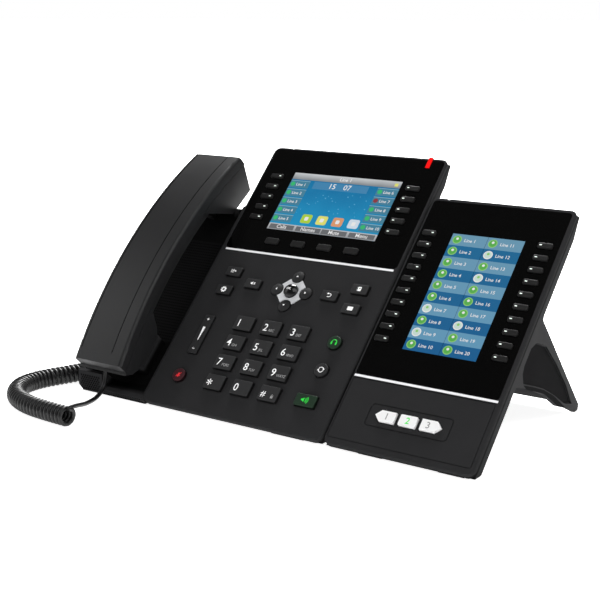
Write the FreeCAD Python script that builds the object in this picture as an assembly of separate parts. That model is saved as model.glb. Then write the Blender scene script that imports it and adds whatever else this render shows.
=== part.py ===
import FreeCAD, Part
import math
import os
from FreeCAD import Placement, Rotation, Vector

# Desk telephone with a corded handset and a joined key module, both leaning back on clip-on stands.
# Everything is drawn flat first: X to the right, Y up the face, Z out of the face.
# The face is then leaned back by TILT and the object is set on its feet.

os.makedirs("parts", exist_ok=True)

# ---------------------------------------------------------------- driving dimensions (mm, degrees)
TILT = 45.0

FACE_LEFT = -150.5
FACE_RIGHT = 3.5
FACE_HEIGHT = 235.0
FACE_CORNER = 5.5
FASCIA_THICK = 2.2
FRAME_DEPTH = 4.0
SEAM = 0.4
SHADOW_GAP = 1.1
SLAB_DEPTH = 11.0
REAR_WALL = 2.0
REAR_INSET = 0.8
TOP_BACK_RUN = 16.0
TOP_BACK_RISE = 4.4
BODY_DEPTH = 28.0
BODY_TOP = 172.0
BODY_RIGHT = -20.0

CRADLE_LEFT = -213.5
CRADLE_TOP = 176.0
CRADLE_FLOOR = -9.0
CRADLE_WALL = 2.4
CRADLE_COVE = 7.5
CRADLE_SILL = 9.0
CRADLE_START = 8.0
SILL_WIDTH = 24.0
SILL_Y = 1.6
SILL_CORNER = 4.0
SILL_CORNER_RUN = 9.0
REST_START = 24.0
REST_END = 52.0
REST_TOP = 3.4
HOOK_SET_DOWN = 10.0
HOOK_WIDTH = 6.0
HOOK_LENGTH = 4.0
HOOK_BOTTOM = -22.0
HOOK_TOP = -4.5

TRIM_Y = 135.6
TRIM_HEIGHT = 1.6
TRIM_PROUD = 0.15
PANEL_THICK = 1.0
PANEL_MARGIN = 1.9

SCREEN_LONG = 95.2
SCREEN_SHORT = 53.8
SCREEN_X = -73.0
SCREEN_Y = 184.9
SCREEN_SET_BACK = 0.35
SCREEN_BEZEL = 3.6
SCREEN_DEPTH = 3.0

MODULE_LEFT = 5.0
MODULE_WIDTH = 108.8
MODULE_HEIGHT = 201.0
MODULE_TRIM_Y = 52.0
MODULE_SCREEN_X = 58.75
MODULE_SCREEN_Y = 124.6
MODULE_BODY_DEPTH = 24.0
MODULE_BODY_INSET = 20.0
MODULE_BODY_BOTTOM = 28.0
MODULE_BODY_SET_DOWN = 23.0
PAGE_X = 58.3
NOTCH_X = -133.95
MODULE_NOTCH_X = 17.15
NOTCH_WIDTH = 2.3
NOTCH_DEPTH = 1.3
ALERT_X = -11.0
ALERT_WIDTH = 3.2
ALERT_LENGTH = 9.0
ALERT_PROUD = 0.5
ALERT_OVERHANG = 0.4

KEY_RISE = 2.4
KEY_FLANGE = 0.9
KEY_FLANGE_THICK = 0.8
KEY_FLANGE_TOP = -2.9
KEY_TRAVEL = 1.0
KEY_GAP = 0.35
KEY_EDGE = 0.5
KEY_CORNER = 0.9

DIGIT_WIDTH = 15.5
DIGIT_HEIGHT = 11.3
DIGIT_STEP_X = 23.6
DIGIT_STEP_Y = 16.45
DIGIT_LEFT_X = -96.15
DIGIT_TOP_Y = 74.1
FUNCTION_WIDTH = 13.2
FUNCTION_HEIGHT = 7.6
FUNCTION_KEYS = {"key_transfer": (-127.4, 115.4), "key_settings": (-128.0, 98.9),
                 "key_silence": (-105.9, 107.5), "key_return": (-39.0, 107.3),
                 "key_directory": (-17.7, 115.8), "key_message": (-18.0, 99.4)}
SPEAKER_KEY = (-19.2, 25.5, 16.2, 9.0)
ROUND_KEY_RADIUS = 5.1
ROUND_KEYS = {"key_microphone_off": (-128.3, 24.6), "key_headset": (-18.0, 71.8), "key_redial": (-18.2, 49.6)}
LOW_KEY_RISE = 1.8
LINE_WIDTH = 11.0
LINE_HEIGHT = 3.8
LINE_RISE = 1.5
LINE_STEP = 9.85
LINE_TOP = 21.2
LINE_OFF_LEFT = 14.0
LINE_OFF_RIGHT = 11.0
LINE_ROWS = 5
SOFT_WIDTH = 11.5
SOFT_HEIGHT = 4.8
SOFT_X = -74.6
SOFT_Y = 146.7
SOFT_STEP = 23.15
SOFT_KEYS = 4
MODULE_LINE_WIDTH = 10.4
MODULE_LINE_STEP = 9.78
MODULE_LINE_TOP = 45.2
MODULE_LINE_OFF_LEFT = 17.5
MODULE_LINE_OFF_RIGHT = 15.3
MODULE_LINE_ROWS = 10
PAGE_Y = 26.4
PAGE_HEIGHT = 7.8
PAGE_WIDTH = 12.3
PAGE_GAP = 3.2
PAGE_TIP = 14.5
PAGE_FRAME_MARGIN = 6.1
PAGE_FRAME_GROOVE = 0.8
LOWER_GROOVE = 0.6

NAV_X = -71.8
NAV_Y = 106.6
NAV_RADIUS = 12.5
NAV_ARROW_RADIUS = 4.7
NAV_OK_RADIUS = 5.3
NAV_PLATE = 20.0
NAV_PLATE_THICK = 0.8
NAV_PLATE_CORNER = 5.0
ARROW_DOME = 0.9

ROCKER_X = -127.85
ROCKER_Y = 59.8
ROCKER_WIDTH = 7.9
ROCKER_LENGTH = 32.4
ROCKER_RISE = 2.0
ROCKER_DROP = 0.5

HANDSET_RIGHT = -161.0
HANDSET_WIDTH = 45.0
HANDSET_BOTTOM = 11.0
HANDSET_TOP = 207.0
HANDSET_END_RISE = 19.5
HANDSET_MID_RISE = 36.0
HANDSET_MOUTH_RISE = 24.5
HANDSET_BACK_DEPTH = 8.0
HANDSET_GRIP_DEPTH = 16.0
HANDSET_GRIP_INSET = 3.5
HANDSET_WALL = 2.0
HANDSET_SEAM = 0.3
EAR_LENGTH = 59.0
MOUTH_LENGTH = 51.0
GROOVE_WIDTH = 0.7
GROOVE_DEPTH = 0.6
GROOVE_START = 8.0
GROOVE_FROM_LEFT = 3.6
GROOVE_FROM_RIGHT = 11.6

STAND_LEFT = -118.0
STAND_RIGHT = -30.0
STAND_MODULE_INSET = 4.0
STAND_WALL = 3.0
STAND_RECESS = 1.2
STAND_CROWN = 132.5
STAND_ROOT = 69.0
STAND_REACH = 168.6
STAND_BACK = (125.0, -19.0)
STAND_PLATE_THICK = 3.5
STAND_PLATE_LIFT = 3.5
STAND_FOOT_FLAT = 6.0
GROUND = -4.0
FOOT_THICK = 1.0
FOOT_LENGTH = 18.0
FOOT_WIDTH = 7.0
FOOT_SET_BACK = 4.8

BOARD_THICK = 1.4
MAT_THICK = 0.8
MAT_TOP = -5.6
MAT_OFF_LEFT = 8.5
MAT_OFF_RIGHT = 11.0
MAT_BOTTOM = 8.0
MAT_BELOW_TRIM = 6.0
DOME_RADIUS = 2.6
DOME_RISE = 0.5
SPEAKER_WIDTH = 38.0
SPEAKER_BOTTOM = 62.0
SPEAKER_TOP = 122.0
SPEAKER_FRAME = 3.0
SPEAKER_MAGNET_RADIUS = 13.0
SPEAKER_MAGNET_DEPTH = 8.0
SCREW_RADIUS = 1.3
SCREW_HEAD_RADIUS = 2.8
SCREW_HEAD = 1.1
SCREW_LENGTH = 6.0
SCREW_SLOT = 0.7
SCREW_SLOT_LENGTH = 3.6
SCREW_SLOT_DEPTH = 0.55
SCREW_BOSS_RADIUS = 3.0
SCREW_SET_DOWN = 22.5

CORD_WIRE = 3.2
CORD_COIL = 14.0
PLUG_WIDTH = 7.7
PLUG_HEIGHT = 6.6
PLUG_LENGTH = 14.0
PLUG_Y = 85.0
PLUG_Z = -20.0

# Cord routes, in the finished frame with the ground at zero.  The points are chosen by hand.
ROUTES_DRAWN_AT = (49.85, -80.36268563, 4.0)
LEAD_ROUTE = [
    (-133.65, -80.85, 20.3),
    (-133.5, -81.9, 12.4),
    (-132.4, -87.2, 6.6),
    (-130.2, -95.0, 4.2),
    (-127.2, -103.5, 4.4),
    (-123.0, -113.0, 5.8),
    (-118.6, -122.5, 8.2),
    (-114.4, -132.0, 10.8),
    (-111.8, -139.5, 11.9),
]
COIL_ROUTE = [
    (-109.3, -143.4, 7.0),
    (-132.2, -142.9, 7.0),
    (-155.2, -140.0, 7.0),
    (-176.2, -130.4, 7.0),
    (-189.6, -113.4, 7.0),
    (-190.8, -94.4, 7.0),
    (-184.6, -77.0, 7.0),
    (-178.6, -61.4, 7.0),
    (-176.2, -43.0, 7.0),
    (-176.4, -22.4, 7.0),
]
TAIL_ROUTE = [
    (-176.4, -22.6, 10.6),
    (-177.2, -12.5, 9.8),
    (-180.0, -3.5, 14.0),
    (-184.0, 0.5, 23.5),
    (-187.0, -1.5, 34.0),
    (-185.5, -4.5, 44.5),
    (-172.7, -6.1, 50.0),
]

# ---------------------------------------------------------------- values worked out from them
MODULE_RIGHT = MODULE_LEFT + MODULE_WIDTH
HANDSET_LEFT = HANDSET_RIGHT - HANDSET_WIDTH
KEY_FLANGE_BOTTOM = KEY_FLANGE_TOP - KEY_FLANGE_THICK
PANEL_BED = -(PANEL_THICK + 0.05)
PANEL_BOTTOM = TRIM_Y + TRIM_HEIGHT / 2 + 0.3
PANEL_TOP = FACE_HEIGHT - PANEL_MARGIN
MODULE_PANEL_BOTTOM = MODULE_TRIM_Y + TRIM_HEIGHT / 2 + 0.3
MODULE_PANEL_TOP = MODULE_HEIGHT - 2.6
SCREW_INSET = REAR_INSET + REAR_WALL + SCREW_BOSS_RADIUS + SEAM
BOARD_TOP = MAT_TOP - MAT_THICK - 0.2
BASE_SKIN = GROUND + FOOT_THICK
PARTS = {}


def level(y, z):
    """Turn a place given square to the ground into the leaning face's own Y and Z."""
    c = math.cos(math.radians(TILT))
    s = math.sin(math.radians(TILT))
    return (y * c + z * s, z * c - y * s)


def level_height(point):
    """How high a place of the leaning face is when measured square to the ground."""
    return point[0] * math.sin(math.radians(TILT)) + point[1] * math.cos(math.radians(TILT))


def box(x0, x1, y0, y1, z0, z1):
    return Part.makeBox(x1 - x0, y1 - y0, z1 - z0, Vector(x0, y0, z0))


def disc(x, y, z0, z1, radius):
    return Part.makeCylinder(radius, z1 - z0, Vector(x, y, z0))


def runs_along_z(edge):
    a = edge.Vertexes[0].Point
    b = edge.Vertexes[-1].Point
    return abs(a.x - b.x) < 1e-6 and abs(a.y - b.y) < 1e-6 and abs(a.z - b.z) > 1e-6


def lies_at_z(edge, z):
    bounds = edge.BoundBox
    return abs(bounds.ZMin - z) < 1e-4 and abs(bounds.ZMax - z) < 1e-4


def rounded_box(x0, x1, y0, y1, z0, z1, radius):
    shape = box(x0, x1, y0, y1, z0, z1)
    return shape.makeFillet(radius, [e for e in shape.Edges if runs_along_z(e)])


def soften_top(shape, radius):
    """Round the rim of a shape's highest flat face."""
    top = shape.BoundBox.ZMax
    return shape.makeFillet(radius, [e for e in shape.Edges if lies_at_z(e, top)])


def side_prism(points, x0, x1):
    """A solid whose outline is drawn in Y and Z and pushed along X."""
    ring = [Vector(x0, y, z) for y, z in points]
    wire = Part.makePolygon(ring + ring[:1])
    return Part.Face(wire).extrude(Vector(x1 - x0, 0, 0))


def end_prism(points, y0, y1):
    """A solid whose outline is drawn in X and Z and pushed along Y."""
    ring = [Vector(x, y0, z) for x, z in points]
    wire = Part.makePolygon(ring + ring[:1])
    return Part.Face(wire).extrude(Vector(0, y1 - y0, 0))


def face_prism(points, z0, z1):
    """A solid whose outline is drawn on the face and pushed along Z."""
    ring = [Vector(x, y, z0) for x, y in points]
    wire = Part.makePolygon(ring + ring[:1])
    return Part.Face(wire).extrude(Vector(0, 0, z1 - z0))


def join(shapes):
    whole = shapes[0]
    for shape in shapes[1:]:
        whole = whole.fuse(shape)
    return whole.removeSplitter()


def cut_all(shape, tools):
    for tool in tools:
        shape = shape.cut(tool)
    return shape


def keep(name, shape):
    PARTS[name] = shape


# ---------------------------------------------------------------- keys
def key_solid(outline, rise):
    """A key: a cap that stands out of the face and a flange that holds it in.

    outline(grow, z0, z1, corner) draws the key's plan, grown all round.
    """
    cap = soften_top(outline(0.0, KEY_FLANGE_TOP, rise, KEY_CORNER), KEY_EDGE)
    flange = outline(KEY_FLANGE, KEY_FLANGE_BOTTOM, KEY_FLANGE_TOP, KEY_CORNER)
    return cap.fuse(flange)


def plate_outline(x, y, width, height):
    def draw(grow, z0, z1, corner):
        a = width / 2 + grow
        b = height / 2 + grow
        return rounded_box(x - a, x + a, y - b, y + b, z0, z1, corner)
    return draw


def round_outline(x, y, radius):
    def draw(grow, z0, z1, corner):
        return disc(x, y, z0, z1, radius + grow)
    return draw


def arrow_outline(x_flat, x_tip, y, height):
    """A page key: square at one end and pointed at the other."""
    def draw(grow, z0, z1, corner):
        side = 1 if x_tip > x_flat else -1
        half = height / 2 + grow
        flat = x_flat - side * grow
        tip = x_tip + side * grow
        shoulder = x_tip - side * (height / 2 - 0.1)
        points = [(flat, y - half), (shoulder, y - half), (tip, y), (shoulder, y + half), (flat, y + half)]
        return face_prism(points, z0, z1)
    return draw


def digit_keys():
    names = [["key_1", "key_2", "key_3"], ["key_4", "key_5", "key_6"],
             ["key_7", "key_8", "key_9"], ["key_star", "key_0", "key_hash"]]
    keys = {}
    for row, row_names in enumerate(names):
        for column, name in enumerate(row_names):
            x = DIGIT_LEFT_X + column * DIGIT_STEP_X
            y = DIGIT_TOP_Y - row * DIGIT_STEP_Y
            keys[name] = (plate_outline(x, y, DIGIT_WIDTH, DIGIT_HEIGHT), KEY_RISE)
    return keys


def function_keys():
    keys = {}
    for name, (x, y) in FUNCTION_KEYS.items():
        keys[name] = (plate_outline(x, y, FUNCTION_WIDTH, FUNCTION_HEIGHT), KEY_RISE)
    keys["key_speaker"] = (plate_outline(*SPEAKER_KEY), KEY_RISE)
    return keys


def round_keys():
    return {name: (round_outline(x, y, ROUND_KEY_RADIUS), KEY_RISE) for name, (x, y) in ROUND_KEYS.items()}


def arrow_keys():
    keys = {}
    for name, angle in (("right", 0), ("up", 90), ("left", 180), ("down", 270)):
        x = NAV_X + NAV_RADIUS * math.cos(math.radians(angle))
        y = NAV_Y + NAV_RADIUS * math.sin(math.radians(angle))
        keys["key_" + name] = (round_outline(x, y, NAV_ARROW_RADIUS), LOW_KEY_RISE)
    return keys


def line_key_places():
    left = SCREEN_X - SCREEN_LONG / 2 - LINE_OFF_LEFT
    right = SCREEN_X + SCREEN_LONG / 2 + LINE_OFF_RIGHT
    rows = [SCREEN_Y + LINE_TOP - LINE_STEP * i for i in range(LINE_ROWS)]
    return [(x, y) for x in (left, right) for y in rows]


def soft_key_places():
    middle = (SOFT_KEYS - 1) / 2
    return [(SOFT_X + SOFT_STEP * (i - middle), SOFT_Y) for i in range(SOFT_KEYS)]


def module_line_key_places():
    left = MODULE_SCREEN_X - SCREEN_SHORT / 2 - MODULE_LINE_OFF_LEFT
    right = MODULE_SCREEN_X + SCREEN_SHORT / 2 + MODULE_LINE_OFF_RIGHT
    rows = [MODULE_SCREEN_Y + MODULE_LINE_TOP - MODULE_LINE_STEP * i for i in range(MODULE_LINE_ROWS)]
    return [(x, y) for x in (left, right) for y in rows]


def page_keys():
    x = PAGE_X
    flat = PAGE_WIDTH / 2 + PAGE_GAP
    return {"key_page_1": (arrow_outline(x - flat, x - flat - PAGE_TIP, PAGE_Y, PAGE_HEIGHT), LOW_KEY_RISE),
            "key_page_2": (plate_outline(x, PAGE_Y, PAGE_WIDTH, PAGE_HEIGHT), LOW_KEY_RISE),
            "key_page_3": (arrow_outline(x + flat, x + flat + PAGE_TIP, PAGE_Y, PAGE_HEIGHT), LOW_KEY_RISE)}


def grouped_keys():
    """Keys of one kind that share a node: (name, outlines, rise)."""
    lines = [plate_outline(x, y, LINE_WIDTH, LINE_HEIGHT) for x, y in line_key_places()]
    softs = [plate_outline(x, y, SOFT_WIDTH, SOFT_HEIGHT) for x, y in soft_key_places()]
    return [("line_keys", lines, LINE_RISE), ("soft_keys", softs, LINE_RISE)]


def module_grouped_keys():
    lines = [plate_outline(x, y, MODULE_LINE_WIDTH, LINE_HEIGHT) for x, y in module_line_key_places()]
    return [("module_line_keys", lines, LINE_RISE)]


def through_hole(outline):
    return outline(KEY_GAP, -FASCIA_THICK - 1.0, 1.0, KEY_CORNER)


def rocker_outline():
    return plate_outline(ROCKER_X, ROCKER_Y, ROCKER_WIDTH, ROCKER_LENGTH)


def volume_rocker():
    outline = rocker_outline()
    flange_top = KEY_FLANGE_TOP - ROCKER_DROP
    cap = soften_top(outline(0.0, flange_top, ROCKER_RISE, KEY_CORNER), KEY_EDGE)
    flange = outline(KEY_FLANGE, KEY_FLANGE_BOTTOM - ROCKER_DROP, flange_top, KEY_CORNER)
    return cap.fuse(flange)


def domed_key(x, y, radius, shoulder, ball, sunk):
    """A round key with a domed top; ball and sunk are the dome's radius and the depth of its middle."""
    barrel = disc(x, y, KEY_FLANGE_TOP, shoulder, radius)
    dome = Part.makeSphere(ball, Vector(x, y, shoulder - sunk))
    reach = disc(x, y, shoulder, shoulder + radius, radius)
    flange = disc(x, y, KEY_FLANGE_BOTTOM, KEY_FLANGE_TOP, radius + KEY_FLANGE)
    return join([barrel, dome.common(reach), flange])


def ok_key():
    """The selection key: a short barrel under a deep dome."""
    return domed_key(NAV_X, NAV_Y, NAV_OK_RADIUS, LOW_KEY_RISE, NAV_OK_RADIUS * 1.35, NAV_OK_RADIUS * 0.75)


def domed_arrow_key(outline):
    """An arrow key: a shallow dome on a low barrel."""
    middle = outline(0.0, 0.0, 1.0, 0.0).BoundBox.Center
    shoulder = LOW_KEY_RISE - ARROW_DOME
    ball = (NAV_ARROW_RADIUS ** 2 + ARROW_DOME ** 2) / (2 * ARROW_DOME)
    return domed_key(middle.x, middle.y, NAV_ARROW_RADIUS, shoulder, ball, ball - ARROW_DOME)


def single_keys():
    keys = {}
    keys.update(digit_keys())
    keys.update(function_keys())
    keys.update(round_keys())
    keys.update(arrow_keys())
    return keys


# ---------------------------------------------------------------- telephone body
def screw_places():
    left = FACE_LEFT + SCREW_INSET
    right = FACE_RIGHT - SCREW_INSET
    top = FACE_HEIGHT - SCREW_SET_DOWN
    return [(left, 126.0), (left, top), (right, 14.0), (right, 120.0), (right, top)]


def module_screw_places():
    left = MODULE_LEFT + SCREW_INSET
    right = MODULE_RIGHT - SCREW_INSET
    top = MODULE_HEIGHT - SCREW_SET_DOWN
    return [(left, 14.0), (right, 14.0), (left, top), (right, top)]


def well_is_deep(x, y):
    return x < BODY_RIGHT and y < BODY_TOP


def never_deep(x, y):
    return False


def below_ground_cut(lift):
    """Everything lower than the housings' flat underside, which lies level with the ground."""
    reach = 400.0
    corners = [(-reach, BASE_SKIN + lift), (reach, BASE_SKIN + lift), (reach, -reach), (-reach, -reach)]
    return side_prism([level(y, z) for y, z in corners], -reach, reach)


def framed_tray(left, right, height, corner):
    """The upper shell of a thin body: a fascia with a short skirt all round."""
    outer = rounded_box(left, right, 0.0, height, -FRAME_DEPTH, 0.0, corner)
    rim = [e for e in outer.Edges if lies_at_z(e, 0.0)]
    outer = outer.makeChamfer(0.8, rim)
    inner = rounded_box(left + REAR_WALL, right - REAR_WALL, REAR_WALL, height - REAR_WALL,
                        -FRAME_DEPTH - 1.0, -FASCIA_THICK, corner - REAR_WALL)
    return outer.cut(inner)


def screen_window(x, y, width, height):
    return box(x - width / 2, x + width / 2, y - height / 2, y + height / 2, -FASCIA_THICK - 1.0, 1.0)


def trim_bar(x0, x1, y, gap):
    half = TRIM_HEIGHT / 2 + gap
    return box(x0 - gap, x1 + gap, y - half, y + half, PANEL_BED - gap, TRIM_PROUD)


def cradle():
    """The trough that the handset lies over, left of the fascia."""
    floor_under = CRADLE_FLOOR - CRADLE_WALL
    edge = FACE_LEFT + CRADLE_WALL
    cove = FACE_LEFT - CRADLE_COVE
    floor = box(CRADLE_LEFT, cove + 1.0, CRADLE_START, CRADLE_TOP, floor_under, CRADLE_FLOOR)
    right = end_prism([(FACE_LEFT, -0.4), (FACE_LEFT - 2.4, -1.6), (FACE_LEFT - 5.0, -4.6),
                       (cove, CRADLE_FLOOR), (cove, floor_under), (edge, floor_under), (edge, -0.4)],
                      0.0, CRADLE_TOP)
    left = box(CRADLE_LEFT, CRADLE_LEFT + CRADLE_WALL, 2.0, CRADLE_TOP, floor_under, -2.0)
    top = box(CRADLE_LEFT, edge, CRADLE_TOP - CRADLE_WALL, CRADLE_TOP, floor_under, -6.6)
    stop = side_prism([(CRADLE_TOP - 9.0, CRADLE_FLOOR), (CRADLE_TOP - 8.0, -5.0), (CRADLE_TOP - 5.0, -2.8),
                       (CRADLE_TOP - 1.5, -3.2), (CRADLE_TOP, -5.5), (CRADLE_TOP, CRADLE_FLOOR)],
                      cove - 1.5, cove + 2.5)
    rest = box(HANDSET_LEFT + 3.0, HANDSET_RIGHT - 3.0, REST_START, REST_END, CRADLE_FLOOR, REST_TOP)
    return join([floor, right, left, top, stop, rest, sill()])


def sill():
    """The upright wall at the trough's lower end, tall at the left and low in the middle."""
    foot = level(SILL_Y, BASE_SKIN)
    crest = level(SILL_Y, CRADLE_SILL + 3.0)
    back = (crest[0] + 2.6, crest[1] - 1.4)
    heel = (13.0, CRADLE_FLOOR - CRADLE_WALL)
    heel_front = level(12.0, BASE_SKIN)
    tall = side_prism([foot, crest, back, (14.5, CRADLE_FLOOR), heel, heel_front],
                      CRADLE_LEFT, CRADLE_LEFT + SILL_WIDTH)
    low_crest = level(SILL_Y, 0.6)
    low_back = (low_crest[0] + 3.0, low_crest[1] + 0.2)
    low = side_prism([foot, low_crest, low_back, (14.5, CRADLE_FLOOR), heel, heel_front],
                     CRADLE_LEFT + SILL_WIDTH, FACE_LEFT + CRADLE_WALL)
    return tall.cut(sill_corner_cut()).fuse(low)


def sill_corner_cut():
    """The wedge that takes off the tall part's lower left corner."""
    left = CRADLE_LEFT - 1.0
    right = CRADLE_LEFT + SILL_CORNER + 1.0
    under = BASE_SKIN - 1.0
    over = BASE_SKIN + SILL_CORNER + 1.0
    start = SILL_Y - 1.0
    ring = [Vector(left, *level(start, under)), Vector(right, *level(start, under)),
            Vector(left, *level(start, over))]
    wire = Part.makePolygon(ring + ring[:1])
    return Part.Face(wire).extrude(Vector(0, *level(SILL_CORNER_RUN, 0.0)))


def hook_switch_slot(gap):
    x = (HANDSET_LEFT + HANDSET_RIGHT) / 2
    y0 = CRADLE_TOP - HOOK_SET_DOWN
    half = HOOK_WIDTH / 2 + gap
    return box(x - half, x + half, y0 - gap, y0 + HOOK_LENGTH + gap, HOOK_BOTTOM, HOOK_TOP)


def alert_shape(gap, top, overhang):
    """The lens folds over the face's top edge: a flat on the face and a leg down the edge."""
    x0 = ALERT_X - ALERT_WIDTH / 2 - gap
    x1 = ALERT_X + ALERT_WIDTH / 2 + gap
    end = FACE_HEIGHT + overhang
    flat = box(x0, x1, FACE_HEIGHT - ALERT_LENGTH - gap, end, PANEL_BED - gap / 2, top)
    edge = box(x0, x1, FACE_HEIGHT - 1.0 - gap, end, -3.6 - gap, top)
    return flat.fuse(edge).removeSplitter()


def alert_light():
    return alert_shape(0.0, ALERT_PROUD, ALERT_OVERHANG)


def alert_pocket():
    return alert_shape(0.1, 1.0, 1.0)


def navigation_plate():
    h = NAV_PLATE / 2
    c = h - NAV_PLATE_CORNER
    points = [(-h, -c), (-c, -h), (c, -h), (h, -c), (h, c), (c, h), (-c, h), (-h, c)]
    plate = face_prism([(NAV_X + x, NAV_Y + y) for x, y in points], 0.0, NAV_PLATE_THICK)
    for outline, rise in arrow_keys().values():
        plate = plate.cut(outline(KEY_GAP + 0.25, -1.0, 3.0, 0.0))
    return plate.cut(disc(NAV_X, NAV_Y, -1.0, 3.0, NAV_OK_RADIUS + KEY_GAP))


def edge_notch(x, height):
    """A small nick in the middle of the top edge, where the two shells snap together."""
    half = NOTCH_WIDTH / 2
    return box(x - half, x + half, height - NOTCH_DEPTH, height + 1.0, -FRAME_DEPTH - 1.0, 1.0)


def front_housing():
    shell = framed_tray(FACE_LEFT, FACE_RIGHT, FACE_HEIGHT, FACE_CORNER)
    shell = shell.fuse(cradle())
    bed = rounded_box(FACE_LEFT + PANEL_MARGIN, FACE_RIGHT - PANEL_MARGIN, PANEL_BOTTOM, PANEL_TOP,
                      PANEL_BED, 1.0, FACE_CORNER - PANEL_MARGIN)
    holes = [through_hole(outline) for outline, rise in single_keys().values()]
    for name, outlines, rise in grouped_keys():
        holes += [through_hole(outline) for outline in outlines]
    holes.append(through_hole(rocker_outline()))
    holes.append(disc(NAV_X, NAV_Y, -FASCIA_THICK - 1.0, 1.0, NAV_OK_RADIUS + KEY_GAP))
    holes.append(screen_window(SCREEN_X, SCREEN_Y, SCREEN_LONG + 0.6, SCREEN_SHORT + 0.6))
    holes.append(trim_bar(FACE_LEFT + 3.4, FACE_RIGHT - 3.6, TRIM_Y, 0.05))
    holes.append(alert_pocket())
    holes.append(edge_notch(NOTCH_X, FACE_HEIGHT))
    holes.append(hook_switch_slot(0.4))
    holes.append(below_ground_cut(0.0))
    for x, y in screw_places():
        shell = shell.fuse(disc(x, y, -SLAB_DEPTH + REAR_WALL, -FASCIA_THICK + 0.1, SCREW_BOSS_RADIUS))
        holes.append(disc(x, y, -SLAB_DEPTH, -FASCIA_THICK - 0.8, SCREW_RADIUS))
    return cut_all(shell.cut(bed), holes)


def slab_profile(height, depth, shrink):
    """The side outline of a thin rear shell, moved inwards by shrink."""
    top = height - REAR_INSET - shrink
    back = -depth + shrink
    front = -FRAME_DEPTH - SHADOW_GAP + shrink
    return [(REAR_INSET + shrink, front), (REAR_INSET + shrink, back), (top - TOP_BACK_RUN, back),
            (top, back + TOP_BACK_RISE), (top, front)]


def thin_shell(left, right, height):
    """The lower shell of a thin body: outer and inner solids."""
    outer = side_prism(slab_profile(height, SLAB_DEPTH, 0.0), left + REAR_INSET, right - REAR_INSET)
    inner = side_prism(slab_profile(height, SLAB_DEPTH, REAR_WALL),
                       left + REAR_INSET + REAR_WALL, right - REAR_INSET - REAR_WALL)
    return outer, inner.cut(below_ground_cut(REAR_WALL))


def screw_cuts(places, deep):
    cuts = []
    for x, y in places:
        cuts.append(disc(x, y, -SLAB_DEPTH - 1.0, -SLAB_DEPTH + REAR_WALL + 0.5, SCREW_RADIUS + 0.15))
        start = -BODY_DEPTH - 1.0 if deep(x, y) else -SLAB_DEPTH - 1.0
        cuts.append(disc(x, y, start, -SLAB_DEPTH + SCREW_HEAD + 0.1, SCREW_HEAD_RADIUS + 0.3))
    return cuts


def plug_opening(gap):
    a = PLUG_WIDTH / 2 + gap
    b = PLUG_HEIGHT / 2 + gap
    return box(CRADLE_LEFT - 1.0, CRADLE_LEFT + 14.0, PLUG_Y - a, PLUG_Y + a, PLUG_Z - b, PLUG_Z + b)


def rear_housing():
    slab, slab_inside = thin_shell(FACE_LEFT, FACE_RIGHT, FACE_HEIGHT)
    seam = CRADLE_FLOOR - CRADLE_WALL - SEAM
    body = box(CRADLE_LEFT + REAR_INSET, BODY_RIGHT, 2.0, BODY_TOP, -BODY_DEPTH, seam)
    inside = box(CRADLE_LEFT + REAR_INSET + REAR_WALL, BODY_RIGHT - REAR_WALL, 2.0 + REAR_WALL,
                 BODY_TOP - REAR_WALL, -BODY_DEPTH + REAR_WALL, seam + 1.0)
    inside = inside.cut(below_ground_cut(REAR_WALL))
    room = box(CRADLE_LEFT - 5.0, FACE_LEFT + CRADLE_WALL + SEAM, -10.0, CRADLE_TOP + SEAM, seam, 5.0)
    shell = slab.fuse(body).cut(slab_inside).cut(inside)
    for x, y in screw_places():
        if well_is_deep(x, y):
            shell = shell.fuse(disc(x, y, -BODY_DEPTH, -SLAB_DEPTH + REAR_WALL, SCREW_HEAD_RADIUS + 2.0))
    shell = cut_all(shell.cut(room), screw_cuts(screw_places(), well_is_deep))
    return cut_all(shell, [below_ground_cut(0.0), plug_opening(0.3)])


def display_panel(left, right, bottom, top, corner, window, cuts):
    panel = rounded_box(left, right, bottom, top, -PANEL_THICK, 0.0, corner)
    return cut_all(panel.cut(window), cuts)


def main_display_panel():
    cuts = [through_hole(outline) for name, outlines, rise in grouped_keys() for outline in outlines]
    cuts.append(alert_pocket())
    window = screen_window(SCREEN_X, SCREEN_Y, SCREEN_LONG + 0.6, SCREEN_SHORT + 0.6)
    margin = PANEL_MARGIN + 0.1
    return display_panel(FACE_LEFT + margin, FACE_RIGHT - margin, PANEL_BOTTOM + 0.1, PANEL_TOP - 0.1,
                         FACE_CORNER - margin, window, cuts)


def display_module(x, y, width, height):
    """A liquid-crystal display: a framed block with its glass standing in the window."""
    glass = box(x - width / 2, x + width / 2, y - height / 2, y + height / 2,
                -FASCIA_THICK - 0.2, -SCREEN_SET_BACK)
    a = width / 2 + SCREEN_BEZEL
    b = height / 2 + SCREEN_BEZEL
    block = rounded_box(x - a, x + a, y - b, y + b, -FASCIA_THICK - 0.1 - SCREEN_DEPTH,
                        -FASCIA_THICK - 0.1, 1.0)
    return glass.fuse(block)


def screw(x, y):
    head = disc(x, y, -SLAB_DEPTH, -SLAB_DEPTH + SCREW_HEAD, SCREW_HEAD_RADIUS)
    a = SCREW_SLOT / 2
    b = SCREW_SLOT_LENGTH / 2
    slot = box(x - a, x + a, y - b, y + b, -SLAB_DEPTH - 0.1, -SLAB_DEPTH + SCREW_SLOT_DEPTH)
    cross = box(x - b, x + b, y - a, y + a, -SLAB_DEPTH - 0.1, -SLAB_DEPTH + SCREW_SLOT_DEPTH)
    shank = disc(x, y, -SLAB_DEPTH + SCREW_HEAD, -SLAB_DEPTH + SCREW_HEAD + SCREW_LENGTH, SCREW_RADIUS)
    return head.cut(slot).cut(cross).fuse(shank)


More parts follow.
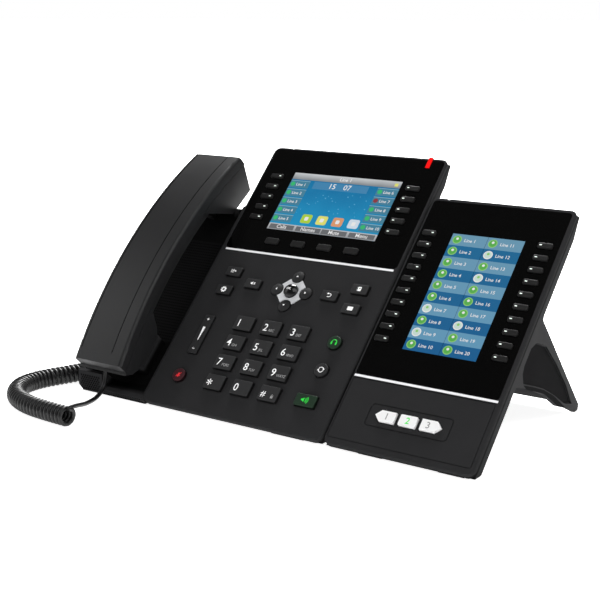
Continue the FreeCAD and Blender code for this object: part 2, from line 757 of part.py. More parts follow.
def circuit_board(left, right, bottom, top, places):
    board = box(left, right, bottom, top, BOARD_TOP - BOARD_THICK, BOARD_TOP)
    return cut_all(board, [disc(x, y, -20.0, 0.0, SCREW_BOSS_RADIUS + 0.5) for x, y in places])


def key_mat():
    """The rubber mat under the dial keys, with a dome under each key."""
    left = FACE_LEFT + MAT_OFF_LEFT
    right = FACE_RIGHT - MAT_OFF_RIGHT
    mat = box(left, right, MAT_BOTTOM, TRIM_Y - MAT_BELOW_TRIM, MAT_TOP - MAT_THICK, MAT_TOP)
    places = [outline(0.0, 0.0, 1.0, 0.5).BoundBox.Center for outline, rise in single_keys().values()]
    for spot in places:
        mat = mat.fuse(disc(spot.x, spot.y, MAT_TOP, MAT_TOP + DOME_RISE, DOME_RADIUS))
    return mat


def loudspeaker():
    """A slim oval unit under the trough's perforated floor."""
    x = (CRADLE_LEFT + FACE_LEFT) / 2 - 1.0
    half = SPEAKER_WIDTH / 2
    top = CRADLE_FLOOR - CRADLE_WALL - SEAM
    under = top - SPEAKER_FRAME
    frame = rounded_box(x - half, x + half, SPEAKER_BOTTOM, SPEAKER_TOP, under, top, half - 1.0)
    middle = (SPEAKER_BOTTOM + SPEAKER_TOP) / 2
    magnet = disc(x, middle, under - SPEAKER_MAGNET_DEPTH, under, SPEAKER_MAGNET_RADIUS)
    return frame.fuse(magnet)


def rubber_foot(x, length):
    front = FOOT_SET_BACK
    back = FOOT_SET_BACK + FOOT_WIDTH
    corners = [(front, GROUND), (back, GROUND), (back, BASE_SKIN), (front, BASE_SKIN)]
    pad = side_prism([level(y, z) for y, z in corners], x - length / 2, x + length / 2)
    return pad


def rubber_feet():
    phone = [rubber_foot(CRADLE_LEFT + 48.5, FOOT_LENGTH), rubber_foot(FACE_RIGHT - 29.0, FOOT_LENGTH + 8.0)]
    module = [rubber_foot(MODULE_LEFT + 33.6, FOOT_LENGTH), rubber_foot(MODULE_RIGHT - 17.4, FOOT_LENGTH)]
    return Part.makeCompound(phone + module)


# ---------------------------------------------------------------- stands
def stand_outline():
    """The stand's side outline, from the body's back down to its foot."""
    crown = [(STAND_CROWN, -SLAB_DEPTH), (STAND_CROWN, STAND_BACK[1] + STAND_PLATE_THICK), STAND_BACK]
    heel = [level(STAND_REACH + 1.0, 0.0), level(STAND_REACH, GROUND),
            level(STAND_REACH - STAND_FOOT_FLAT, GROUND)]
    under = [level(150.0, 2.0), level(131.8, 8.5), level(108.8, 22.7), level(84.0, 33.0)]
    return crown + heel + under + [(STAND_ROOT, -SLAB_DEPTH)]


def stand_recess_outline():
    """The sunk field on the outside of each web, with an arched end by the body."""
    arch = [(80.0, -26.0), (84.0, -19.5), (92.0, -16.5), (102.0, -17.5), (109.5, -22.0)]
    return arch + [(116.5, -38.0), (117.8, -62.0), (117.0, -88.0), (113.5, -108.0), (107.0, -97.0),
                   (101.5, -76.0), (95.5, -58.0), (88.0, -42.0)]


def stand(left, right, body):
    """A clip-on leg: two side webs joined by a back plate that ends a little above the desk."""
    outline = stand_outline()
    webs = []
    for x in (left, right - STAND_WALL):
        webs.append(side_prism(outline, x, x + STAND_WALL))
    heel = level(STAND_REACH + 1.0, 0.0)
    share = STAND_PLATE_LIFT / level_height(STAND_BACK)
    end = (heel[0] + (STAND_BACK[0] - heel[0]) * share, heel[1] + (STAND_BACK[1] - heel[1]) * share)
    inner_back = (STAND_BACK[0] - STAND_PLATE_THICK, STAND_BACK[1])
    inner_end = (end[0] - STAND_PLATE_THICK, end[1])
    plate = side_prism([inner_back, STAND_BACK, end, inner_end], left, right)
    shape = join(webs + [plate])
    recess = stand_recess_outline()
    shape = shape.cut(side_prism(recess, left - 1.0, left + STAND_RECESS))
    shape = shape.cut(side_prism(recess, right - STAND_RECESS, right + 1.0))
    return shape.cut(body)


def main_stand():
    body = box(CRADLE_LEFT - 10.0, BODY_RIGHT, -10.0, BODY_TOP, -BODY_DEPTH, 0.0)
    return stand(STAND_LEFT, STAND_RIGHT, body)


def module_body_box():
    return (MODULE_LEFT + MODULE_BODY_INSET, MODULE_RIGHT - MODULE_BODY_INSET,
            MODULE_BODY_BOTTOM, MODULE_HEIGHT - MODULE_BODY_SET_DOWN)


def module_stand():
    x0, x1, y0, y1 = module_body_box()
    body = box(x0, x1, y0, y1, -MODULE_BODY_DEPTH, 0.0)
    return stand(MODULE_LEFT + STAND_MODULE_INSET, MODULE_RIGHT - STAND_MODULE_INSET, body)


# ---------------------------------------------------------------- key module
def rim_groove(x0, x1, y0, y1, width, depth, corner):
    """A shallow groove that runs round a rounded rectangle."""
    outer = rounded_box(x0, x1, y0, y1, -depth, 1.0, corner)
    inner = rounded_box(x0 + width, x1 - width, y0 + width, y1 - width, -1.0, 2.0, corner - width)
    return outer.cut(inner)


def page_frame_groove():
    half = PAGE_WIDTH / 2 + PAGE_GAP + PAGE_TIP + PAGE_FRAME_MARGIN
    rise = PAGE_HEIGHT / 2 + PAGE_FRAME_MARGIN - 1.7
    return rim_groove(PAGE_X - half, PAGE_X + half, PAGE_Y - rise, PAGE_Y + rise, PAGE_FRAME_GROOVE, 0.5, 3.0)


def lower_panel_groove():
    return rim_groove(MODULE_LEFT + 1.4, MODULE_RIGHT - 3.4, 4.8, MODULE_TRIM_Y - 1.6, LOWER_GROOVE, 0.4, 2.0)


def module_front_housing():
    shell = framed_tray(MODULE_LEFT, MODULE_RIGHT, MODULE_HEIGHT, FACE_CORNER)
    bed = rounded_box(MODULE_LEFT + 1.6, MODULE_RIGHT - 3.0, MODULE_PANEL_BOTTOM, MODULE_PANEL_TOP,
                      PANEL_BED, 1.0, 2.6)
    holes = [through_hole(outline) for outline, rise in page_keys().values()]
    for name, outlines, rise in module_grouped_keys():
        holes += [through_hole(outline) for outline in outlines]
    holes.append(screen_window(MODULE_SCREEN_X, MODULE_SCREEN_Y, SCREEN_SHORT + 0.6, SCREEN_LONG + 0.6))
    holes.append(trim_bar(MODULE_LEFT + 1.6, MODULE_RIGHT - 3.0, MODULE_TRIM_Y, 0.05))
    holes.append(page_frame_groove())
    holes.append(lower_panel_groove())
    holes.append(edge_notch(MODULE_NOTCH_X, MODULE_HEIGHT))
    holes.append(below_ground_cut(0.0))
    for x, y in module_screw_places():
        shell = shell.fuse(disc(x, y, -SLAB_DEPTH + REAR_WALL, -FASCIA_THICK + 0.1, SCREW_BOSS_RADIUS))
        holes.append(disc(x, y, -SLAB_DEPTH, -FASCIA_THICK - 0.8, SCREW_RADIUS))
    return cut_all(shell.cut(bed), holes)


def joining_tongue():
    """A flat arm of the module's rear shell that screws to the telephone's back."""
    return box(FACE_RIGHT - 16.0, MODULE_LEFT + 12.0, 24.0, 60.0, -SLAB_DEPTH - 3.0, -SLAB_DEPTH)


def module_rear_housing():
    slab, slab_inside = thin_shell(MODULE_LEFT, MODULE_RIGHT, MODULE_HEIGHT)
    x0, x1, y0, y1 = module_body_box()
    body = box(x0, x1, y0, y1, -MODULE_BODY_DEPTH, -SLAB_DEPTH + 0.5)
    inside = box(x0 + REAR_WALL, x1 - REAR_WALL, y0 + REAR_WALL, y1 - REAR_WALL,
                 -MODULE_BODY_DEPTH + REAR_WALL, -SLAB_DEPTH + REAR_WALL + 1.0)
    shell = slab.fuse(body).cut(slab_inside).cut(inside).fuse(joining_tongue())
    shell = cut_all(shell, screw_cuts(module_screw_places(), never_deep))
    return shell.cut(below_ground_cut(0.0))


def module_display_panel():
    cuts = [through_hole(outline) for name, outlines, rise in module_grouped_keys() for outline in outlines]
    window = screen_window(MODULE_SCREEN_X, MODULE_SCREEN_Y, SCREEN_SHORT + 0.6, SCREEN_LONG + 0.6)
    return display_panel(MODULE_LEFT + 1.7, MODULE_RIGHT - 3.1, MODULE_PANEL_BOTTOM + 0.1,
                         MODULE_PANEL_TOP - 0.1, 2.5, window, cuts)


# ---------------------------------------------------------------- handset
def back_curve(drop, y0, y1):
    """The arched back line, lowered by drop: its points in Y and Z as one arc."""
    mid = (HANDSET_BOTTOM + HANDSET_TOP) / 2
    ends = [Vector(0, HANDSET_BOTTOM, HANDSET_MOUTH_RISE), Vector(0, mid, HANDSET_MID_RISE),
            Vector(0, HANDSET_TOP, HANDSET_END_RISE)]
    circle = Part.Arc(ends[0], ends[1], ends[2]).toShape().Curve
    centre = circle.Center
    radius = circle.Radius - drop

    def at(y):
        return Vector(0, y, centre.z + math.sqrt(radius ** 2 - (y - centre.y) ** 2))
    return at(y0), at((y0 + y1) / 2), at(y1)


def arched_prism(curve, below, x0, x1):
    """A solid between an arched top line and a chain of lower points, pushed along X."""
    a, m, b = curve
    shift = Vector(x0, 0, 0)
    arc = Part.Arc(a + shift, m + shift, b + shift).toShape()
    chain = [b + shift] + [Vector(x0, y, z) for y, z in below] + [a + shift]
    lower = Part.makePolygon(chain)
    wire = Part.Wire([arc] + lower.Edges)
    return Part.Face(wire).extrude(Vector(x1 - x0, 0, 0))


def banana(drop_top, drop_low, y0, y1, x0, x1):
    """A solid between two of the handset's arched lines."""
    a, m, b = back_curve(drop_top, y0, y1)
    c, n, d = back_curve(drop_low, y0, y1)
    shift = Vector(x0, 0, 0)
    edges = [Part.Arc(a + shift, m + shift, b + shift).toShape(),
             Part.LineSegment(b + shift, d + shift).toShape(),
             Part.Arc(d + shift, n + shift, c + shift).toShape(),
             Part.LineSegment(c + shift, a + shift).toShape()]
    return Part.Face(Part.Wire(edges)).extrude(Vector(x1 - x0, 0, 0))


def handset_back():
    shell = banana(0.0, HANDSET_BACK_DEPTH, HANDSET_BOTTOM, HANDSET_TOP, HANDSET_LEFT, HANDSET_RIGHT)
    a, m, b = back_curve(0.0, HANDSET_BOTTOM, HANDSET_TOP)
    ridge = [e for e in shell.Edges if e.Length > 150.0 and e.BoundBox.ZMax > m.z - 1.0]
    shell = shell.makeFillet(2.4, ridge)
    hollow = banana(HANDSET_WALL, HANDSET_BACK_DEPTH + 1.0, HANDSET_BOTTOM + HANDSET_WALL,
                    HANDSET_TOP - HANDSET_WALL, HANDSET_LEFT + HANDSET_WALL, HANDSET_RIGHT - HANDSET_WALL)
    return cut_all(shell.cut(hollow), [back_groove(HANDSET_LEFT + GROOVE_FROM_LEFT),
                                       back_groove(HANDSET_RIGHT - GROOVE_FROM_RIGHT)])


def back_groove(x):
    """A fine groove along the back, from near the mouth end to the ear end."""
    half = GROOVE_WIDTH / 2
    return banana(-1.0, GROOVE_DEPTH, HANDSET_BOTTOM + GROOVE_START, HANDSET_TOP + 1.0, x - half, x + half)


def handset_front():
    seam = HANDSET_BACK_DEPTH + HANDSET_SEAM
    ear_y0 = HANDSET_TOP - EAR_LENGTH
    mouth_y1 = HANDSET_BOTTOM + MOUTH_LENGTH
    ear = arched_prism(back_curve(seam, ear_y0, HANDSET_TOP - 1.0),
                       [(HANDSET_TOP - 10.0, -8.7), (169.5, -4.0), (160.0, 9.0)],
                       HANDSET_LEFT, HANDSET_RIGHT)
    mouth = arched_prism(back_curve(seam, HANDSET_BOTTOM - 2.0, mouth_y1),
                         [(54.0, 10.0), (48.0, 4.0), (24.0, 4.0), (14.0, 9.0)],
                         HANDSET_LEFT, HANDSET_RIGHT)
    grip = banana(seam, HANDSET_GRIP_DEPTH, mouth_y1 - 6.0, ear_y0 + 6.0,
                  HANDSET_LEFT + HANDSET_GRIP_INSET, HANDSET_RIGHT - HANDSET_GRIP_INSET)
    x0 = HANDSET_LEFT + HANDSET_WALL
    x1 = HANDSET_RIGHT - HANDSET_WALL
    ear_room = box(x0, x1, 172.0, 197.0, 0.0, 12.5)
    mouth_room = box(x0, x1, 20.0, 48.0, 8.0, 19.0)
    return join([ear, mouth, grip]).cut(ear_room).cut(mouth_room)


def receiver_capsules():
    x = (HANDSET_LEFT + HANDSET_RIGHT) / 2
    ear = disc(x, 184.5, 0.0, 8.0, 12.0)
    mouth = disc(x, 34.0, 8.0, 13.0, 5.0)
    return Part.makeCompound([ear, mouth])


# ---------------------------------------------------------------- cord
def base_plug():
    """The small plug of the cord, pushed into the left side of the body, with its boot."""
    a = PLUG_WIDTH / 2
    b = PLUG_HEIGHT / 2
    x = CRADLE_LEFT + REAR_INSET
    plug = box(x - 3.0, x + PLUG_LENGTH - 3.0, PLUG_Y - a, PLUG_Y + a, PLUG_Z - b, PLUG_Z + b)
    boot = Part.makeCone(2.4, 3.1, 7.0, Vector(x - 10.0, PLUG_Y, PLUG_Z), Vector(1, 0, 0))
    return plug.fuse(boot)


def rounded_path(points):
    """Straight runs joined by tangent arcs, each as large as its two runs allow."""
    corners = [Vector(*p) for p in points]
    edges = []
    radii = []
    start = corners[0]
    for before, corner, after in zip(corners, corners[1:], corners[2:]):
        into = (corner - before).normalize()
        away = (after - corner).normalize()
        turn = into.getAngle(away)
        reach = 0.45 * min((corner - before).Length, (after - corner).Length)
        radii.append(reach / math.tan(turn / 2))
        tangent_in = corner - into * reach
        tangent_out = corner + away * reach
        bisector = (away - into).normalize()
        middle = corner + bisector * (radii[-1] / math.cos(turn / 2) - radii[-1])
        edges.append(Part.LineSegment(start, tangent_in).toShape())
        edges.append(Part.Arc(tangent_in, middle, tangent_out).toShape())
        start = tangent_out
    edges.append(Part.LineSegment(start, corners[-1]).toShape())
    return Part.Wire(edges), radii


def tube(name, route, diameter, drift):
    points = [Vector(*p) + drift for p in route]
    path, radii = rounded_path(points)
    start = points[0]
    heading = points[1] - start
    ring = Part.Wire([Part.makeCircle(diameter / 2, start, heading)])
    solid = path.makePipeShell([ring], True, False)
    ratio = solid.Volume / (math.pi * diameter ** 2 / 4 * path.Length)
    print(name, "length", round(path.Length, 1), "radii", [round(r, 1) for r in radii],
          "volume ratio", round(ratio, 4))
    return solid


# ---------------------------------------------------------------- put together
def build():
    keep("front_housing", front_housing())
    keep("rear_housing", rear_housing())
    keep("display_panel", main_display_panel())
    keep("display_module", display_module(SCREEN_X, SCREEN_Y, SCREEN_LONG, SCREEN_SHORT))
    keep("alert_light", alert_light())
    keep("navigation_plate", navigation_plate())
    keep("key_mat", key_mat())
    keep("loudspeaker", loudspeaker())
    keep("hook_switch", hook_switch_slot(0.0))
    keep("stand", main_stand())
    keep("volume_rocker", volume_rocker())
    keep("key_ok", ok_key())
    for name, (outline, rise) in single_keys().items():
        domed = name in arrow_keys()
        keep(name, domed_arrow_key(outline) if domed else key_solid(outline, rise))
    for name, (outline, rise) in page_keys().items():
        keep(name, key_solid(outline, rise))
    for name, outlines, rise in grouped_keys() + module_grouped_keys():
        keep(name, Part.makeCompound([key_solid(outline, rise) for outline in outlines]))
    keep("module_front_housing", module_front_housing())
    keep("module_rear_housing", module_rear_housing())
    keep("module_display_panel", module_display_panel())
    keep("module_display", display_module(MODULE_SCREEN_X, MODULE_SCREEN_Y, SCREEN_SHORT, SCREEN_LONG))
    keep("module_stand", module_stand())
    keep("trim_strips", Part.makeCompound([
        trim_bar(FACE_LEFT + 3.4, FACE_RIGHT - 3.6, TRIM_Y, 0.0),
        trim_bar(MODULE_LEFT + 1.6, MODULE_RIGHT - 3.0, MODULE_TRIM_Y, 0.0)]))
    keep("circuit_boards", Part.makeCompound([
        circuit_board(FACE_LEFT + 4.0, FACE_RIGHT - 4.0, 8.5, FACE_HEIGHT - SCREW_SET_DOWN, screw_places()),
        circuit_board(MODULE_LEFT + 4.0, MODULE_RIGHT - 4.0, 8.5, MODULE_HEIGHT - SCREW_SET_DOWN,
                      module_screw_places())]))
    screws = [screw(x, y) for x, y in screw_places() + module_screw_places()]
    keep("housing_screws", Part.makeCompound(screws))
    keep("rubber_feet", rubber_feet())
    keep("handset_back", handset_back())
    keep("handset_front", handset_front())
    keep("receiver_capsules", receiver_capsules())


def stand_up(shapes):
    """Lean every shape back and set the lot on the ground, centred over the origin."""
    lean = Placement(Vector(0, 0, 0), Rotation(Vector(1, 0, 0), TILT))
    leaned = {name: place(shape, lean) for name, shape in shapes.items()}
    bounds = FreeCAD.BoundBox()
    for shape in leaned.values():
        bounds.add(shape.optimalBoundingBox(False, False))
    shift = Placement(Vector(-bounds.Center.x, -bounds.Center.y, -bounds.ZMin), Rotation())
    print("shift", shift.Base, "size", bounds.XLength, bounds.YLength, bounds.ZLength)
    return {name: place(shape, shift) for name, shape in leaned.items()}, lean, shift


def place(shape, placement):
    moved = shape.copy()
    moved.Placement = placement.multiply(moved.Placement)
    return moved


build()
finished, lean, shift = stand_up(PARTS)
finished["base_plug"] = place(place(base_plug(), lean), shift)
route_drift = shift.Base - Vector(*ROUTES_DRAWN_AT)
finished["cord_lead"] = tube("cord_lead", LEAD_ROUTE, CORD_WIRE, route_drift)
finished["cord_coil"] = tube("cord_coil", COIL_ROUTE, CORD_COIL, route_drift)
finished["cord_tail"] = tube("cord_tail", TAIL_ROUTE, CORD_WIRE, route_drift)

for name, shape in finished.items():
    if not shape.isValid():
        print("not valid:", name)
    shape.exportStep("parts/" + name + ".step")
print(len(finished), "nodes")
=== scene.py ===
# %% [markdown]
# # A desk telephone with a second screen of line keys
# The telephone has a sloping face with a colour screen, a keypad and a handset
# lying in a trough on its left, with a curly cord. A flat module with its own tall
# screen is fixed to its right side. CAD already made every shape with a real size.
# This notebook adds what the eye looks for: the curly cord, the screens' pictures,
# the printed legends, the pierced grilles and the finish of each plastic.
#
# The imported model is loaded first. Its pieces stay where they are, and everything
# that is added here rides on one of its moving bodies.

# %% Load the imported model
import math

import bpy
from mathutils import Matrix, Vector


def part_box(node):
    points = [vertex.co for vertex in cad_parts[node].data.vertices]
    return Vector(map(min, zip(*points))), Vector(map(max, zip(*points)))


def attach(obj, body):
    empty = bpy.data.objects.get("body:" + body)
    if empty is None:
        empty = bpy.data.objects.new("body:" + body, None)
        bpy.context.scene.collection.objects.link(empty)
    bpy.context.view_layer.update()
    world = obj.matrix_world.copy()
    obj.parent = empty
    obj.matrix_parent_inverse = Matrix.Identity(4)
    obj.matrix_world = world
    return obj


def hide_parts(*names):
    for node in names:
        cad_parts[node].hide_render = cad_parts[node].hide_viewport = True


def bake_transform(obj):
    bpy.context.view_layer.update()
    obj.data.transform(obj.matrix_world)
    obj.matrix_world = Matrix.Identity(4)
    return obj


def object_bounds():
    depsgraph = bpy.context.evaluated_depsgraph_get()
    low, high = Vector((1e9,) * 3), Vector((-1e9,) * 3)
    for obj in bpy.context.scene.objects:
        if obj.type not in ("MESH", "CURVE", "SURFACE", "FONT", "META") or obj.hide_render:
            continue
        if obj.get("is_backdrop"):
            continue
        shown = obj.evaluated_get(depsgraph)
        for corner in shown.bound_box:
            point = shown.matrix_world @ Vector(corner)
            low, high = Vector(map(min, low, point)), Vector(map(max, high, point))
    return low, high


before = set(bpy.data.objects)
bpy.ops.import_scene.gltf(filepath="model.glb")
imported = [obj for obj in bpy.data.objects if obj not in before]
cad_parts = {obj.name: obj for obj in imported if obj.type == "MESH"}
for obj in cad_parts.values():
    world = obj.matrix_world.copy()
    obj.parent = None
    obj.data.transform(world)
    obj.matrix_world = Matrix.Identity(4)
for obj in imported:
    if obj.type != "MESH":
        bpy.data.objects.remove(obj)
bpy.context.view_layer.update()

# %% [markdown]
# ## The workbench
# The face of a telephone leans back at 45 degrees, and it is awkward to model on a
# slope. So the small pieces are modelled flat on a workbench, in millimetres: x
# runs to the right, y up the slope and z straight out of the face. One matrix then
# stands a finished mesh up on the real face and turns its millimetres into metres.
# Its place is worked out from the box of the front housing.

# %% The matrix of the sloping face
MM = 0.001
FACE_HEIGHT = 235.0
FRAME_DEPTH = 4.0
CRADLE_LEFT = -213.5
FACE_ABOVE_DESK = 4.0
front_low, front_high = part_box("front_housing")
slope = math.sqrt(0.5) * MM
FACE = Matrix((
    (MM, 0.0, 0.0, front_low.x - CRADLE_LEFT * MM),
    (0.0, slope, -slope, front_high.y - (FACE_HEIGHT + FRAME_DEPTH) * slope),
    (0.0, slope, slope, FACE_ABOVE_DESK * MM),
    (0.0, 0.0, 0.0, 1.0),
))
print("the face starts at", [round(v, 4) for v in FACE.translation])

# %% [markdown]
# Operators act on everything that is selected, and the loaded pieces start out
# selected. So each step first selects one piece alone.

# %% Helpers that select


def deselect():
    bpy.ops.object.select_all(action="DESELECT")


def select_only(piece):
    """Makes one piece the only selected one, and the active one."""
    deselect()
    piece.select_set(True)
    bpy.context.view_layer.objects.active = piece


# %% [markdown]
# ## The camera
# It stands to the right of the telephone and a little above it, and looks slightly
# down, with a lens that is long enough to keep the sides nearly parallel.

# %% Place the camera
CAMERA_PLACE = (0.47725, -0.71016, 0.275)
CAMERA_TURN = (math.radians(76.87), 0.0, math.radians(34.9))
CAMERA_LENS = 74.43
SENSOR = 36.0
FARTHEST_SEEN = 50.0

deselect()
bpy.ops.object.camera_add(location=CAMERA_PLACE, rotation=CAMERA_TURN)
camera = bpy.context.object
camera.name = "studio_camera"
camera.data.lens = CAMERA_LENS
camera.data.sensor_width = SENSOR
camera.data.clip_end = FARTHEST_SEEN
bpy.context.scene.camera = camera
print("camera at", [round(v, 3) for v in camera.location])

# %% [markdown]
# ## The curly cord
# The handset's cord is one soft wire: a short straight lead out of the handset, a
# long curly part lying on the table, and a straight tail that climbs into the jack
# in the telephone's left wall. A helix could be swept by a screw modifier, but it
# has to bend along a free route. So the route is drawn as a smooth NURBS line
# along a few points, its line is read back as a mesh, and the turns are walked
# round that line as more points of the cord's own spline.
#
# The route's points are the ones that CAD's plain tubes follow.

# %% The cord's route
WIRE = 0.0032
COIL_DIAMETER = 0.014
COIL_MIDDLE_RADIUS = (COIL_DIAMETER - WIRE) / 2
TURNS = 51
POINTS_PER_TURN = 12
GUIDE_STEPS, TURN_STEPS, LEAD_STEPS = 12, 3, 6
NURBS_ORDER = 3
WIRE_ROUNDNESS = 3
LEAD_ROUTE = [
    (-0.13365, -0.08085, 0.0203), (-0.1335, -0.0819, 0.0124),
    (-0.1324, -0.0872, 0.0066), (-0.1302, -0.095, 0.0042),
    (-0.1272, -0.1035, 0.0044), (-0.123, -0.113, 0.0058),
    (-0.1186, -0.1225, 0.0082), (-0.1144, -0.132, 0.0108),
    (-0.1118, -0.1395, 0.0119),
]
COIL_ROUTE = [
    (-0.1093, -0.1434, 0.007), (-0.1322, -0.1429, 0.007),
    (-0.1552, -0.14, 0.007), (-0.1762, -0.1304, 0.007),
    (-0.1896, -0.1134, 0.007), (-0.1908, -0.0944, 0.007),
    (-0.1846, -0.077, 0.007), (-0.1786, -0.0614, 0.007),
    (-0.1762, -0.043, 0.007), (-0.1764, -0.0224, 0.007),
]
TAIL_ROUTE = [
    (-0.1764, -0.0226, 0.0106), (-0.1772, -0.0125, 0.0098),
    (-0.18, -0.0035, 0.014), (-0.184, 0.0005, 0.0235),
    (-0.187, -0.0015, 0.034), (-0.1855, -0.0045, 0.0445),
    (-0.1727, -0.0061, 0.05),
]
print("points in the routes:", *map(len, (LEAD_ROUTE, COIL_ROUTE, TAIL_ROUTE)))

# %% Helpers that draw a wire and read its line


def draw_curve(name, points, radius, steps):
    """A round wire along a smooth open NURBS line that runs near the points."""
    curve = bpy.data.curves.new(name, "CURVE")
    curve.dimensions = "3D"
    spline = curve.splines.new("NURBS")
    spline.points.add(len(points) - 1)
    for control, place in zip(spline.points, points):
        control.co = (*place, 1.0)
    spline.order_u = NURBS_ORDER
    spline.use_endpoint_u = True
    curve.resolution_u = steps
    curve.bevel_depth = radius
    curve.bevel_resolution = WIRE_ROUNDNESS
    curve.use_fill_caps = True
    piece = bpy.data.objects.new(name, curve)
    bpy.context.scene.collection.objects.link(piece)
    return piece


def read_line(piece):
    """The points along a curve, read from it as Blender draws it with no thickness."""
    radius, piece.data.bevel_depth = piece.data.bevel_depth, 0.0
    bpy.context.view_layer.update()
    drawn = bpy.data.meshes.new_from_object(piece)
    line = [v.co.copy() for v in drawn.vertices]
    bpy.data.meshes.remove(drawn)
    piece.data.bevel_depth = radius
    return line


# %% The middle line of the coil
coil_guide = draw_curve("coil_guide", COIL_ROUTE, 0.0, GUIDE_STEPS)
coil_line = read_line(coil_guide)
bpy.data.objects.remove(coil_guide)
coil_reach = [0.0]
for a, b in zip(coil_line, coil_line[1:]):
    coil_reach.append(coil_reach[-1] + (b - a).length)
print("coil:", round(coil_reach[-1], 4), "m along its middle")


def along_coil(share):
    """The place and the direction of the coil's middle line at a share of its length."""
    goal = share * coil_reach[-1]
    i = min(sum(r < goal for r in coil_reach[1:-1]), len(coil_line) - 2)
    a, b = coil_line[i], coil_line[i + 1]
    part = (goal - coil_reach[i]) / (coil_reach[i + 1] - coil_reach[i])
    before = coil_line[max(i - 1, 0)]
    after = coil_line[min(i + 2, len(coil_line) - 1)]
    return a.lerp(b, part), (after - before).normalized()


# %% Walk the turns round the middle line
UP = Vector((0.0, 0.0, 1.0))
# A quadratic NURBS line runs inside its control points, so they stand further out.
CONTROL_RADIUS = COIL_MIDDLE_RADIUS / math.cos(math.pi / POINTS_PER_TURN)
turn_points = []
for i in range(TURNS * POINTS_PER_TURN + 1):
    middle, forward = along_coil(i / (TURNS * POINTS_PER_TURN))
    angle = math.tau * i / POINTS_PER_TURN
    outward = UP * math.cos(angle) + forward.cross(UP) * math.sin(angle)
    turn_points.append(tuple(middle + outward * CONTROL_RADIUS))
print("points in the turns:", len(turn_points))

# %% Sweep the curly cord


def to_mesh(item):
    """Makes a curve or a text a mesh."""
    select_only(item)
    bpy.ops.object.convert(target="MESH")
    return bpy.context.object


def make_tube(curve):
    """Turns a drawn wire into a mesh tube, and returns it with its middle line."""
    line = read_line(curve)
    tube = to_mesh(curve)
    bpy.ops.object.shade_smooth()
    return tube, line


curly_cord, curly_line = make_tube(
    draw_curve("curly_cord", turn_points + TAIL_ROUTE[1:], WIRE / 2, TURN_STEPS)
)

# %% The straight lead to the handset
cord_to_handset, lead_line = make_tube(
    draw_curve("cord_to_handset", LEAD_ROUTE, WIRE / 2, LEAD_STEPS)
)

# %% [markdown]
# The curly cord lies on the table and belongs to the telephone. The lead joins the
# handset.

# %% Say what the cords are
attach(curly_cord, "root")
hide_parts("cord_coil", "cord_tail")
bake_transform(cord_to_handset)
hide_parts("cord_lead")

# %% [markdown]
# ## Floor and light
# A plain white floor and large soft lights, as for a catalogue picture. The floor
# is wide enough to be the background too, and it gives a little light of its own,
# which keeps it white and washes out the shadows.

# %% Helpers for a finish and its sockets


def new_finish(name):
    """An empty finish with its nodes and links, for a helper to fill."""
    finish = bpy.data.materials.new(name)
    finish.use_nodes = True
    return finish, finish.node_tree.nodes, finish.node_tree.links


def put(node, **values):
    """Sets a node's own sockets; an underscore in a name stands for a space."""
    for socket, value in values.items():
        node.inputs[socket.replace("_", " ")].default_value = value
    return node


# %% Floor
FLOOR_SIZE = 60.0
FLOOR_GLOW = 0.9
FLOOR_WHITE = (0.9, 0.9, 0.9, 1.0)
FLOOR_ROUGHNESS = 0.9
FLOOR_SHINE = 0.1
deselect()
bpy.ops.mesh.primitive_plane_add(size=FLOOR_SIZE, location=(0.0, 0.0, 0.0))
floor = bpy.context.object
floor.name = "studio_floor"
floor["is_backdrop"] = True
floor_paint, floor_nodes, _ = new_finish("studio_floor_white")
put(
    floor_nodes["Principled BSDF"], Base_Color=FLOOR_WHITE, Roughness=FLOOR_ROUGHNESS,
    Specular_IOR_Level=FLOOR_SHINE, Emission_Color=(1.0, 1.0, 1.0, 1.0),
    Emission_Strength=FLOOR_GLOW
)
floor.data.materials.append(floor_paint)
print("floor:", FLOOR_SIZE, "m wide")

# %% [markdown]
# Whatever is dark and smooth shows what it mirrors, so the air matters as much as
# the lamps. It is white near the horizon, where the floor ends, and dark higher
# up, which keeps the black plastics black. The lamps are soft boxes: one high at
# the front, a weak one at each side, and a strong one behind, which draws bright
# lines along the top edges and the handset's back.

# %% The air
SKY_WHITE = 1.0
SKY_TOP = 0.12
HORIZON_END, DARK_START = 0.1, 0.3
bpy.context.scene.view_settings.view_transform = "Standard"
studio = bpy.data.worlds.new("studio_air")
bpy.context.scene.world = studio
studio.use_nodes = True
sky_nodes, sky_links = studio.node_tree.nodes, studio.node_tree.links
air = put(sky_nodes["Background"], Strength=1.0)
sky_place = sky_nodes.new("ShaderNodeTexCoord")
sky_height = sky_nodes.new("ShaderNodeSeparateXYZ")
sky_shade = sky_nodes.new("ShaderNodeValToRGB")
for stop, place, grey_of in zip(
    sky_shade.color_ramp.elements, (HORIZON_END, DARK_START), (SKY_WHITE, SKY_TOP)
):
    stop.position = place
    stop.color = (grey_of, grey_of, grey_of, 1.0)
sky_links.new(sky_place.outputs["Generated"], sky_height.inputs["Vector"])
sky_links.new(sky_height.outputs["Z"], sky_shade.inputs["Fac"])
sky_links.new(sky_shade.outputs["Color"], air.inputs["Color"])
print("air: grey", SKY_WHITE, "low and", SKY_TOP, "high")

# %% Soft boxes, each with its place and side in metres and its watts
LOOK_AT = Vector((0.0, 0.0, 0.08))


def soft_box(name, place, size, watts):
    """A square area light that faces the telephone."""
    deselect()
    bpy.ops.object.light_add(type="AREA", location=place)
    lamp = bpy.context.object
    lamp.name = name
    lamp.data.size = size
    lamp.data.energy = watts
    aim = LOOK_AT - Vector(place)
    lamp.rotation_euler = aim.to_track_quat("-Z", "Y").to_euler()


